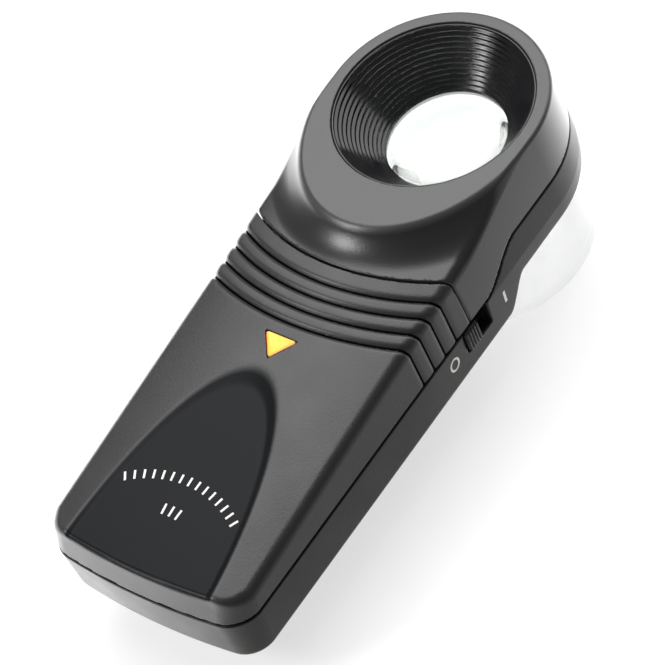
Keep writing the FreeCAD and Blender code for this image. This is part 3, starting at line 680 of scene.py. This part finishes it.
def clear_plastic():
    """Polished clear acrylic: faint in the middle, brighter where it turns away."""
    finish = Finish("clear_plastic", (0.40, 0.42, 0.41), 0.05, IOR=1.49)
    turn = finish.add("LayerWeight", {"Blend": 0.35}).outputs["Facing"]
    wisps = finish.spread(finish.noise(4.0, 5.0), 0, 0.02, 0.5, 0.75)
    finish.set("Alpha", finish.maths("ADD", finish.spread(turn, 0.09, 0.72, 0.3, 1.0), wisps))
    finish.set("Roughness", finish.spread(finish.noise(6.0, 3.0), 0.03, 0.1))
    return finish.relief((finish.noise(9, 2.0), 0.03)).material


def milky_plastic():
    """Milky white moulding with a painted glow, strong low in the tube and faint above 27 mm."""
    finish = Finish("milky_plastic", (0.93, 0.94, 0.93), 0.35, IOR=1.5)
    finish.set("Base Color", finish.shades(finish.noise(5.0, 3.0), (0.3, (0.90, 0.915, 0.90)),
                                           (0.7, (0.95, 0.955, 0.95))))
    finish.set("Roughness", finish.spread(finish.noise(2.0, 3.0), 0.3, 0.42))
    # painted light: the moulding glows though it is no lamp, strongest below 21 mm
    finish.set("Emission Color", (1.0, 1.0, 0.98, 1))
    finish.set("Emission Strength", finish.spread(finish.axis("Z"), 0.85, 0.08, 21 * MM, 27 * MM))
    return finish.relief((finish.noise(1.5, 2.0), 0.01)).material


def lens_glass():
    finish = Finish("lens_glass", (0.97, 0.99, 0.98), 0.0, IOR=1.45, Transmission_Weight=1.0)
    finish.set("Base Color", finish.shades(finish.noise(8, 1.0), (0.2, (0.95, 0.985, 0.97)),
                                           (0.8, (0.99, 1.0, 0.995))))
    finish.set("Roughness", finish.spread(finish.noise(1.5, 5.0), 0.0, 0.02, 0.6, 0.8))
    return finish.relief((finish.noise(14, 1.0), 0.004)).material


def metal(name, colour, roughness, brushed=(1, 1, 14), size=0.4):
    finish = Finish(name, colour, roughness, 1.0)
    lines = finish.noise(size, 4.0, brushed)
    tarnish = finish.spread(finish.noise(2.5, 5.0), 0, 0.5, 0.5, 0.75)
    finish.set("Base Color", finish.mix(tarnish, colour, shade(colour, 0.62)))
    finish.set("Roughness", finish.spread(lines, roughness - 0.07, roughness + 0.1))
    return finish.relief((lines, 0.008)).material


def white_ink():
    """Pad-printed white with slightly worn spots."""
    finish = Finish("white_ink", (0.8, 0.8, 0.78), 0.5)
    worn = finish.spread(finish.noise(0.28, 4.0), 0, 0.6, 0.62, 0.75)
    finish.set("Base Color", finish.mix(worn, (0.8, 0.8, 0.78), (0.25, 0.25, 0.25)))
    finish.set("Roughness", finish.spread(finish.noise(0.5, 2.0), 0.45, 0.6))
    return finish.relief((finish.noise(0.2, 2.0), 0.004)).material


# ---- repeats -------------------------------------------------------------------------------------
def new_tree(name, inputs):
    tree = bpy.data.node_groups.new(name, "GeometryNodeTree")
    for label, kind in inputs:
        tree.interface.new_socket(label, in_out="INPUT", socket_type="NodeSocket" + kind)
    tree.interface.new_socket("Geometry", in_out="OUTPUT", socket_type="NodeSocketGeometry")
    return tree, tree.nodes.new("NodeGroupInput").outputs


def wired(tree, kind, inputs=(), **settings):
    node = tree.nodes.new(kind)
    for key, value in settings.items():
        setattr(node, key, value)
    for key, value in dict(inputs).items():
        if isinstance(value, bpy.types.NodeSocket):
            tree.links.new(value, node.inputs[key])
        else:
            node.inputs[key].default_value = value
    return node


def close_tree(tree, geometry, material):
    real = wired(tree, "GeometryNodeRealizeInstances", {"Geometry": geometry})
    coloured = wired(tree, "GeometryNodeSetMaterial", {"Geometry": real.outputs[0], "Material": material})
    tree.links.new(coloured.outputs[0], tree.nodes.new("NodeGroupOutput").inputs[0])


def row_tree():
    """Copies of one piece at even steps along a line."""
    tree, given = new_tree("row_of_pieces", (("Piece", "Object"), ("Count", "Int"), ("Start", "Vector"),
                                            ("Step", "Vector"), ("Material", "Material")))
    spots = wired(tree, "GeometryNodeMeshLine", {"Count": given["Count"], "Start Location": given["Start"],
                                                 "Offset": given["Step"]})
    piece = wired(tree, "GeometryNodeObjectInfo", {"Object": given["Piece"]})
    copies = wired(tree, "GeometryNodeInstanceOnPoints",
                   {"Points": spots.outputs["Mesh"], "Instance": piece.outputs["Geometry"]})
    close_tree(tree, copies.outputs[0], given["Material"])
    return tree


def coil_tree():
    """A conical coil of round wire, along +Z from its foot."""
    inputs = (("Turns", "Float"), ("Foot Radius", "Float"), ("Tip Radius", "Float"),
              ("Height", "Float"), ("Wire", "Float"), ("Place", "Vector"), ("Turn", "Vector"),
              ("Material", "Material"))
    tree, given = new_tree("contact_coil", inputs)
    spiral = wired(tree, "GeometryNodeCurveSpiral",
                   {"Resolution": 28, "Rotations": given["Turns"], "Start Radius": given["Foot Radius"],
                    "End Radius": given["Tip Radius"], "Height": given["Height"]})
    section = wired(tree, "GeometryNodeCurvePrimitiveCircle", {"Resolution": 12, "Radius": given["Wire"]})
    wire = wired(tree, "GeometryNodeCurveToMesh", {"Curve": spiral.outputs[0],
                                                   "Profile Curve": section.outputs[0], "Fill Caps": True})
    smooth = wired(tree, "GeometryNodeSetShadeSmooth", {"Geometry": wire.outputs[0]})
    placed = wired(tree, "GeometryNodeTransform", {"Geometry": smooth.outputs[0],
                                                   "Translation": given["Place"], "Rotation": given["Turn"]})
    close_tree(tree, placed.outputs[0], given["Material"])
    return tree


def grown(name, tree, **values):
    """The mesh that a tree makes from those inputs."""
    carrier = mesh_object(name + "_carrier", np.zeros((0, 3)), [])
    modifier = carrier.modifiers.new(tree.name, "NODES")
    modifier.node_group = tree
    sockets = {s.name: s.identifier for s in tree.interface.items_tree if s.in_out == "INPUT"}
    for label, value in values.items():
        modifier[sockets[label.replace("_", " ")]] = value
    carrier.data.update()
    bpy.context.view_layer.update()
    graph = bpy.context.evaluated_depsgraph_get()
    mesh = bpy.data.meshes.new_from_object(carrier.evaluated_get(graph), depsgraph=graph)
    mesh.name = name
    bpy.data.objects.remove(carrier)
    piece = bpy.data.objects.new(name, mesh)
    bpy.context.scene.collection.objects.link(piece)
    return piece


def row(name, source, count, start, step, material):
    piece = grown(name, ROW, Piece=source, Count=count, Start=tuple(v * MM for v in start),
                  Step=tuple(v * MM for v in step), Material=material)
    bpy.data.objects.remove(source)
    return piece


def joined(name, *parts):
    """Several meshes as one piece."""
    bm = bmesh.new()
    for part in parts:
        bm.from_mesh(part.data)
    mesh = bpy.data.meshes.new(name)
    bm.to_mesh(mesh)
    bm.free()
    mesh.materials.append(parts[0].data.materials[0])
    for part in parts:
        bpy.data.objects.remove(part)
    piece = bpy.data.objects.new(name, mesh)
    bpy.context.scene.collection.objects.link(piece)
    return piece


def fit(piece, material, body, slot, *nodes):
    piece.data.materials.clear()
    piece.data.materials.append(material)
    if nodes:
        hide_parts(*nodes)
    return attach(piece, body)


ROW, COIL = row_tree(), coil_tree()

# ---- shells --------------------------------------------------------------------------------------
# painted shade: the lower shell is the case plastic painted darker, with less specular
lower_plastic = case_plastic("lower_shell_plastic", GRAPHITE_SHADED, specular=0.2)
head_plastic = case_plastic("head_shell_plastic", GRAPHITE, head=True)
cover_plastic = case_plastic("cover_plastic", GRAPHITE, cover=True)

bottom = moulded("lower_case", bottom_field, (TAIL - 0.2, -HALF - 0.2, BASE - 0.2),
                 (HALF + 0.2, HALF + 0.2, HEAD_SEAM), (0.5, 0.45, 0.42))
fit(bottom, lower_plastic, "case", "case", "bottom_shell")
head = moulded("head_case", head_field, (-46.8, -HALF - 0.2, SEAM - 2.2),
               (HALF + 0.2, HALF + 0.2, HEAD_TOP + 0.2), (0.37, 0.37, 0.36))
fit(head, head_plastic, "case", "case", "head_shell")
cover = moulded("sliding_cover", cover_field, (TAIL - 0.2, -HALF - 0.2, BASE + 7.3),
                (-29.0, HALF + 0.2, SHOULDER + CROWN + 0.2), (0.31, 0.37, 0.34))
fit(cover, cover_plastic, "cover", "cover", "battery_cover")

# ---- arrow insert and printed marks ----------------------------------------------------------------
corners = [(ARROW_X, ARROW_HALF), (ARROW_X - ARROW_LONG, 0), (ARROW_X, -ARROW_HALF)]
arrow = extruded("arrow_insert_face", softened(corners, 0.9, steps=6),
                 lambda u, v: ((u, v, ARROW_SEAT + 0.05), (u, v, plain_top(u, v) - 0.22)), bevel=0.12)
fit(arrow, amber_plastic(), "cover", "amber", "arrow_insert")


def printed(name, strokes, lay):
    """Thin ink ribbons along (points, width, closed) strokes, put on a surface by lay(u, v, lift)."""
    points, faces = [], []
    for stroke, width, closed in strokes:
        line = np.array(stroke, float)
        if closed:
            ahead, behind = np.roll(line, -1, 0), np.roll(line, 1, 0)
        else:
            ahead, behind = np.vstack([line[1:], line[-1:]]), np.vstack([line[:1], line[:-1]])
        run = ahead - behind
        across = np.stack([-run[:, 1], run[:, 0]], 1) / np.linalg.norm(run, axis=1, keepdims=True)
        start, n = len(points), len(line)
        for p, a in zip(line, across * width / 2):
            for edge, lift in ((p + a, 0.025), (p - a, 0.025), (p - a, -0.06), (p + a, -0.06)):
                points.append(lay(*edge, lift))
        for i in range(n if closed else n - 1):
            j = (i + 1) % n
            for k in range(4):
                m = (k + 1) % 4
                faces.append((start + 4 * i + k, start + 4 * j + k, start + 4 * j + m, start + 4 * i + m))
        if not closed:
            faces.append(tuple(start + k for k in (3, 2, 1, 0)))
            faces.append(tuple(start + 4 * (n - 1) + k for k in range(4)))
    piece = mesh_object(name, points, faces)
    finish_edges(piece)
    return piece


ink = white_ink()
PRINT_R, PRINT_X = 22.5, -82.0
TICKS, TICK_SWEEP, TICK_LONG, TICK_WIDE = 15, 33.0, 1.7, 0.42


def ticks(centre, radius, count, half_sweep, long):
    """Short radial strokes spread evenly along an arc."""
    strokes = []
    for a in np.radians(np.linspace(-half_sweep, half_sweep, count)):
        ends = [radius - long / 2, radius + long / 2]
        stroke = [(centre + r * math.cos(a), r * math.sin(a)) for r in np.linspace(*ends, 5)]
        strokes.append((stroke, TICK_WIDE, False))
    return strokes


scale_marks = ticks(PRINT_X - PRINT_R, PRINT_R, TICKS, TICK_SWEEP, TICK_LONG)
scale_marks += ticks(PRINT_X - PRINT_R, PRINT_R - 6.1, 3, 5.6, 2.0)
cover_mark = printed("cover_print", scale_marks,
                     lambda u, v, lift: (u, v, float(cover_top(u, v)) + lift))
fit(cover_mark, ink, "cover", "cover")


def on_wall(u, v, lift):
    """On the lower shell's wall at the switch's side."""
    return u, -HALF + LEAN * (SEAM - v) / (SEAM - BASE) - lift, v


MARK_Z = BASE + 6.85
turns = np.linspace(0, 2 * math.pi, 40, endpoint=False)
loop = [(-35.8 + 1.15 * math.cos(a), MARK_Z + 1.4 * math.sin(a)) for a in turns]
bar = [(-19.4, v) for v in np.linspace(MARK_Z - 1.5, MARK_Z + 1.5, 6)]
switch_marks = printed("switch_prints", [(loop, 0.46, True), (bar, 0.6, False)], on_wall)
fit(switch_marks, ink, "case", "case")

# ---- eyepiece and optics -------------------------------------------------------------------------
APERTURE, LIP_TOP = 11.44, 29.0     # clear opening over the eye lens, and the top of its lip
SEAT = LIP_TOP - 1.0
RINGS = 12
RING_TREAD = 0.42                   # share of a ring's height that is its slanted tread
WEB_TOP = 18.9                      # top and underside of the clear cup's web
LEDGE = 17.4
LENS_R, LENS_DOME, LENS_EDGE = 12.4, 11.3, 1.5
EYE_CURVES, FIELD_CURVE = (30.0, 22.0), 16.3
TUBE_BORE, TUBE_R, TUBE_FLANGE_R = 12.5, 13.7, 15.9


def cone_profile():
    top = HEAD_TOP - 0.35
    rise = (top - LIP_TOP) / RINGS
    grow = (MOUTH - 0.3 - APERTURE) / RINGS
    steps = [(APERTURE, SEAT), (APERTURE, LIP_TOP)]
    for i in range(RINGS):
        r, z = APERTURE + grow * i, LIP_TOP + rise * i
        steps += [(r + grow, z + rise * RING_TREAD), (r + grow, z + rise)]
    flange_top, flange_low = HEAD_TOP - 1.6, HEAD_TOP - 2.6
    outside = [(MOUTH, top), (MOUTH, flange_top), (MOUTH + 1, flange_top),
               (MOUTH + 1, flange_low), (MOUTH, flange_low), (TUBE_R, SEAT)]
    return softened(steps + outside, 0.11, steps=3)


def cap(curve, radius, z, up, count=14):
    """Points of a spherical cap from its edge to its crown."""
    sag = curve - math.sqrt(curve ** 2 - radius ** 2)
    angles = np.linspace(math.asin(radius / curve), 0, count)
    return [(curve * math.sin(a), z + up * (sag - curve + curve * math.cos(a))) for a in angles]


def lens(name, top, top_curve, under_curve):
    """A round lens with a plain edge; without an under_curve it is flat below."""
    foot = top - LENS_EDGE
    upper = cap(top_curve, LENS_DOME, top, 1)
    lower = cap(under_curve, LENS_DOME, foot, -1)[::-1] if under_curve else [(0, foot)]
    rim = [(LENS_R, foot), (LENS_R, top)]
    return turned(name, lower + rim + upper, 120, closed=False, degrees=25)


eyepiece = turned("eyepiece_funnel", cone_profile(), 180, degrees=50)
fit(eyepiece, gloss_black(), "case", "baffle", "eyepiece_cone")

glass = lens_glass()
eye = lens("upper_lens", SEAT, *EYE_CURVES)
fit(eye, glass, "case", "lens", "eye_lens")
field_top = field_high[2] - (FIELD_CURVE - math.sqrt(FIELD_CURVE ** 2 - LENS_DOME ** 2))
lower = lens("lower_lens", field_top, FIELD_CURVE, None)
fit(lower, glass, "case", "lens", "field_lens")

flange = (TUBE_R, WEB_TOP), (TUBE_FLANGE_R, WEB_TOP), (TUBE_FLANGE_R, WEB_TOP + 1.0), (TUBE_R, WEB_TOP + 1.0)
barrel_profile = softened([(TUBE_BORE, barrel_low[2]), (TUBE_R, barrel_low[2]), *flange,
                           (TUBE_R, SEAT), (TUBE_BORE, SEAT)], 0.15)
barrel = turned("lens_tube", barrel_profile, 120)
milky = milky_plastic()
fit(barrel, milky, "case", "black_plastic", "lens_barrel")

cup_profile = softened([(21.3, 0.0), (19.4, 15.8), (19.4, LEDGE), (20.5, LEDGE), (20.5, WEB_TOP),
                        (13.8, WEB_TOP), (13.8, LEDGE), (17.8, LEDGE), (19.69, 0.0)], 0.35)
cup = turned("clear_stand_cup", cup_profile, 160)
fit(cup, clear_plastic(), "case", "clear", "clear_cup")

# ---- switch knob -----------------------------------------------------------------------------------
knob_black = matt_black("knob_black")
RIDGES, RIDGE_HIGH = 5, 0.35
knob_mid = (knob_low + knob_high) / 2
knob_size = knob_high - knob_low
ridge_pitch = knob_size[0] / RIDGES


def knob_field(x, y, z):
    """The knob without its ridges, which stand proud of its outer face."""
    x_span, y_span, z_span = zip(knob_low, knob_high)
    return block(x, y, z, x_span, (y_span[0] + RIDGE_HIGH, y_span[1]), z_span)


knob_body = moulded("knob_body", knob_field, knob_low, knob_high, (0.12, 0.12, 0.12))
knob_body.data.materials.append(knob_black)
ridge_outline = softened([(-0.26, 0.5), (-0.26, 0.12), (-0.12, 0.0), (0.12, 0.0), (0.26, 0.12),
                          (0.26, 0.5)], 0.1)
ridge_half = knob_size[2] / 2 - 0.12
ridge = extruded("ridge", ridge_outline, lambda u, v: ((u, v, -ridge_half), (u, v, ridge_half)), bevel=0.05)
ridges = row("ridges", ridge, RIDGES, (knob_low[0] + ridge_pitch / 2, knob_low[1], knob_mid[2]),
             (ridge_pitch, 0, 0), knob_black)
knob = joined("knob_grip", knob_body, ridges)
knob.data.shade_smooth()
knob.data.set_sharp_from_angle(angle=math.radians(40))
fit(knob, knob_black, "switch", "knob", "switch_knob")

# ---- screws and coils --------------------------------------------------------------------------------
screw_steel = metal("screw_steel", (0.33, 0.33, 0.34), 0.3, (1, 1, 1), 0.3)
plated = metal("plated_steel", (0.66, 0.65, 0.62), 0.25)


def screw_source(up):
    """A pan-head screw with a cross recess; its head's seat is at the origin."""
    crown = [(0.0, 1.2)]
    crown += [(2.1 * math.sin(a), 0.35 + 0.85 * math.cos(a)) for a in np.radians((25, 45, 62, 76, 88))]
    shank = [(2.1, 0.1), (2.0, 0.0), (1.05, 0.0), (1.05, -0.3)]
    threads = [(1.05 if i % 2 else 0.82, -0.5 - 0.25 * i) for i in range(26)]
    profile = crown + shank + threads + [(0.5, -7.4), (0, -7.7)]
    piece = turned("screw_source", [(r, z * up) for r, z in profile], 36, closed=False)
    square = ((-1, -1), (1, -1), (1, 1), (-1, 1))
    sides = [(i, (i + 1) % 4, 4 + (i + 1) % 4, 4 + i) for i in range(4)]
    arms = []
    for long, wide in ((1.15, 0.27), (0.27, 1.15)):
        corners = [(x * long, y * wide, up * z) for z in (0.55, 1.6) for x, y in square]
        arm = mesh_object("arm", corners, [(3, 2, 1, 0), (4, 5, 6, 7), *sides])
        finish_edges(arm)
        arms.append(arm)
    for arm in arms:
        cut = piece.modifiers.new("recess", "BOOLEAN")
        cut.object = arm
        cut.operation = "DIFFERENCE"
        cut.solver = "EXACT"
    graph = bpy.context.evaluated_depsgraph_get()
    piece.data = bpy.data.meshes.new_from_object(piece.evaluated_get(graph))
    piece.modifiers.clear()
    for arm in arms:
        bpy.data.objects.remove(arm)
    finish_edges(piece)
    return piece


bay = row("tongue_screws", screw_source(1), 2, (BAY_SCREW[0], -BAY_SCREW[1], TONGUE[1]),
          (0, 2 * BAY_SCREW[1], 0), screw_steel)
fit(bay, screw_steel, "case", "screw_steel", "bay_screws")
neck = row("neck_screws", screw_source(-1), 2, (NECK_SCREW[0], -NECK_SCREW[1], BASE + 1.8),
           (0, 2 * NECK_SCREW[1], 0), screw_steel)
fit(neck, screw_steel, "case", "screw_steel", "underside_screws")

wire = 0.24
for index, y in enumerate(CELLS_Y):
    low, high = reach(f"cell_spring_{index + 1}")
    flipped = index == 1
    foot = high[0] if flipped else low[0]
    coil = grown(f"contact_coil_{index + 1}", COIL, Turns=4.5, Foot_Radius=2.9 * MM, Tip_Radius=1.95 * MM,
                 Height=(high[0] - low[0] - 2 * wire) * MM, Wire=wire * MM,
                 Place=((foot - wire if flipped else foot + wire) * MM, y * MM, CELL_Z * MM),
                 Turn=(0.0, math.radians(-90 if flipped else 90), 0.0), Material=plated)
    fit(coil, plated, "case", "plated_steel", f"cell_spring_{index + 1}")


# ---- carried-over pieces ---------------------------------------------------------------------------
def cell_jacket():
    """Shrink-wrapped sleeve: copper-brown over the third towards the tail, dark over the rest."""
    copper, dark = (0.45, 0.28, 0.1), (0.03, 0.03, 0.035)
    finish = Finish("cell_jacket", dark, 0.3, IOR=1.5)
    along = finish.add("MapRange", {"Value": finish.axis("X"), "From Min": -0.098, "From Max": -0.049})
    bands = finish.shades(along.outputs["Result"], (0.0, copper), (0.32, copper), (0.325, dark),
                          (1.0, dark))
    rubbed = finish.spread(finish.noise(4, 3.0), 0, 0.12)
    finish.set("Base Color", finish.mix(rubbed, bands, (0.3, 0.3, 0.3)))
    finish.set("Roughness", finish.spread(finish.noise(2, 3.0), 0.22, 0.36))
    return finish.relief((finish.noise(6, 2.0, (1, 3, 3)), 0.03)).material


def board_laminate():
    """Green solder mask over etched tracks."""
    finish = Finish("board_laminate", (0.02, 0.12, 0.05), 0.35, IOR=1.5)
    track = finish.add("TexWave", {"Vector": finish.place, "Scale": 180.0, "Distortion": 1.5,
                                   "Detail": 0.0}, wave_profile="SAW").outputs["Fac"]
    edge = finish.spread(track, 0, 1, 0.55, 0.6)
    finish.set("Base Color", finish.mix(edge, (0.015, 0.09, 0.04), (0.03, 0.17, 0.07)))
    finish.set("Roughness", finish.spread(finish.noise(1.5, 3.0), 0.28, 0.42))
    return finish.relief((edge, 0.03), (finish.noise(0.5, 2.0), 0.01)).material


def banded_body():
    """Tan resistor body with colour rings."""
    finish = Finish("banded_body", (0.62, 0.45, 0.28), 0.35, IOR=1.5)
    along = finish.add("MapRange", {"Value": finish.axis("Y"), "From Min": -0.0031, "From Max": 0.0031})
    tan, red, brown = (0.62, 0.45, 0.28), (0.5, 0.03, 0.02), (0.12, 0.05, 0.02)
    rings = finish.shades(along.outputs["Result"], (0.0, tan), (0.2, red), (0.28, tan), (0.42, brown),
                          (0.5, tan), (0.64, red), (0.72, tan), (0.86, (0.6, 0.4, 0.08)), (0.92, tan))
    rings.node.color_ramp.interpolation = "CONSTANT"
    blotches = finish.spread(finish.noise(0.4, 2.0), 0, 0.2)
    finish.set("Base Color", finish.mix(blotches, rings, (0.4, 0.3, 0.2)))
    finish.set("Roughness", finish.spread(finish.noise(0.8, 2.0), 0.3, 0.45))
    return finish.relief((finish.noise(0.5, 2.0), 0.02)).material


def lamp_resin():
    finish = Finish("lamp_resin", (0.96, 0.97, 1.0), 0.06, IOR=1.54, Transmission_Weight=0.85)
    die = finish.spread(finish.noise(2.2, 3.0), 0, 0.25, 0.45, 0.7)
    finish.set("Base Color", finish.mix(die, (0.96, 0.97, 1.0), (0.98, 0.9, 0.55)))
    finish.set("Roughness", finish.spread(finish.noise(1.0, 3.0), 0.03, 0.12))
    return finish.relief((finish.noise(3, 2.0), 0.01)).material


tinned = metal("tinned_wire", (0.6, 0.6, 0.58), 0.3)
black_parts = matt_black("moulded_black")
carried = {
    milky: ("lens_spacer", "lens_retainer"),
    black_parts: ("lamp_holder", "switch_slider", "switch_base"),
    plated: ("tail_bridge", "tail_terminal", "head_terminal", "head_bridge", "return_strip",
             "switch_frame"),
    tinned: ("switch_terminals", "lamp_leads", "resistor_leads"),
    board_laminate(): ("circuit_board",),
    banded_body(): ("resistor",),
    lamp_resin(): ("lamp",),
    cell_jacket(): ("cell_1", "cell_2", "cell_3"),
}
for material, names in carried.items():
    for node in names:
        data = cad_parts[node].data
        data.materials.clear()
        data.materials.append(material)


# ---- floor, light and camera -------------------------------------------------------------------------
def floor_paint():
    """A white sweep lit from below: it glows evenly to the eye, and its far side lights the object more."""
    finish = Finish("floor_paint", (0.4, 0.4, 0.4), 0.8)
    finish.set("Base Color", finish.shades(finish.noise(60, 2.0), (0.3, (0.39, 0.39, 0.39)),
                                           (0.7, (0.41, 0.41, 0.41))))
    aside = finish.maths("MAXIMUM", finish.maths("ADD", finish.axis("X"), 45 * MM), 0.0)
    back = finish.maths("ADD", finish.axis("Y"), finish.maths("MULTIPLY", aside, 0.35))
    glow = finish.add("MapRange", {"Value": back, "From Min": -45 * MM, "From Max": 35 * MM,
                                   "To Min": 0.3, "To Max": 3.6}, interpolation_type="SMOOTHSTEP")
    path = finish.add("LightPath")
    direct = finish.maths("MAXIMUM", path.outputs["Is Camera Ray"], path.outputs["Is Transmission Ray"])
    finish.set("Emission Color", (1, 1, 1, 1))
    finish.set("Emission Strength", finish.mix_values(direct, glow.outputs["Result"], 0.66))
    return finish.material


bpy.ops.mesh.primitive_plane_add(size=8, location=(0, 0, -0.0002))
floor = bpy.context.object
floor.name = "floor"
floor.data.materials.append(floor_paint())

scene = bpy.context.scene
scene.view_settings.view_transform = "Standard"
scene.view_settings.look = "None"

ROOM_LIGHT = 0.14                   # the dark room beyond the white sweep
world = bpy.data.worlds.new("studio")
scene.world = world
world.use_nodes = True
room = world.node_tree.nodes["Background"]
room.inputs["Color"].default_value = (1.0, 1.0, 1.0, 1)
room.inputs["Strength"].default_value = ROOM_LIGHT
sweep_light = world.node_tree.nodes.new("ShaderNodeBackground")
path = world.node_tree.nodes.new("ShaderNodeLightPath")
choice = world.node_tree.nodes.new("ShaderNodeMixShader")
sky = world.node_tree.nodes["World Output"].inputs["Surface"]
for source, target in ((path.outputs["Is Camera Ray"], choice.inputs[0]),
                       (room.outputs[0], choice.inputs[1]),
                       (sweep_light.outputs[0], choice.inputs[2]), (choice.outputs[0], sky)):
    world.node_tree.links.new(source, target)
sweep_light.inputs["Color"].default_value = (1.0, 1.0, 1.0, 1)


def softbox(name, direction, distance, size, radiance, aim=(-0.03, 0, 0.03)):
    """A square area light of that radiance, facing the object."""
    light = bpy.data.lights.new(name, "AREA")
    light.shape = "SQUARE"
    light.size = size
    light.energy = math.pi * size * size * radiance
    lamp = bpy.data.objects.new(name, light)
    scene.collection.objects.link(lamp)
    away = Vector(direction).normalized()
    lamp.location = Vector(aim) + away * distance
    lamp.rotation_mode = "QUATERNION"
    lamp.rotation_quaternion = away.to_track_quat("Z", "Y")
    return lamp


softbox("top_softbox", (0.34, 0.32, 0.88), 0.8, 0.80, 4.3)
softbox("right_softbox", (0.80, -0.12, 0.55), 0.8, 0.5, 2.6)
softbox("window_light", (-0.60, 0.46, 0.66), 0.9, 0.24, 20.0)

TARGET = Vector((-0.0432, -0.0029, 0.0250))
CAMERA_AZIMUTH, CAMERA_ELEVATION, CAMERA_ROLL = (math.radians(v) for v in (-125.76, 49.19, 24.59))
CAMERA_DISTANCE = 0.7086
away = Vector((math.cos(CAMERA_AZIMUTH) * math.cos(CAMERA_ELEVATION),
               math.sin(CAMERA_AZIMUTH) * math.cos(CAMERA_ELEVATION), math.sin(CAMERA_ELEVATION)))
camera_data = bpy.data.cameras.new("camera")
camera_data.lens, camera_data.sensor_width = 216.9, 36.0
camera_data.clip_start = 0.05
camera = bpy.data.objects.new("camera", camera_data)
scene.collection.objects.link(camera)
level = (-away).to_track_quat("-Z", "Y").to_matrix().to_4x4()
camera.matrix_world = (Matrix.Translation(TARGET + away * CAMERA_DISTANCE)
                       @ Matrix.Rotation(CAMERA_ROLL, 4, -away) @ level)
scene.camera = camera
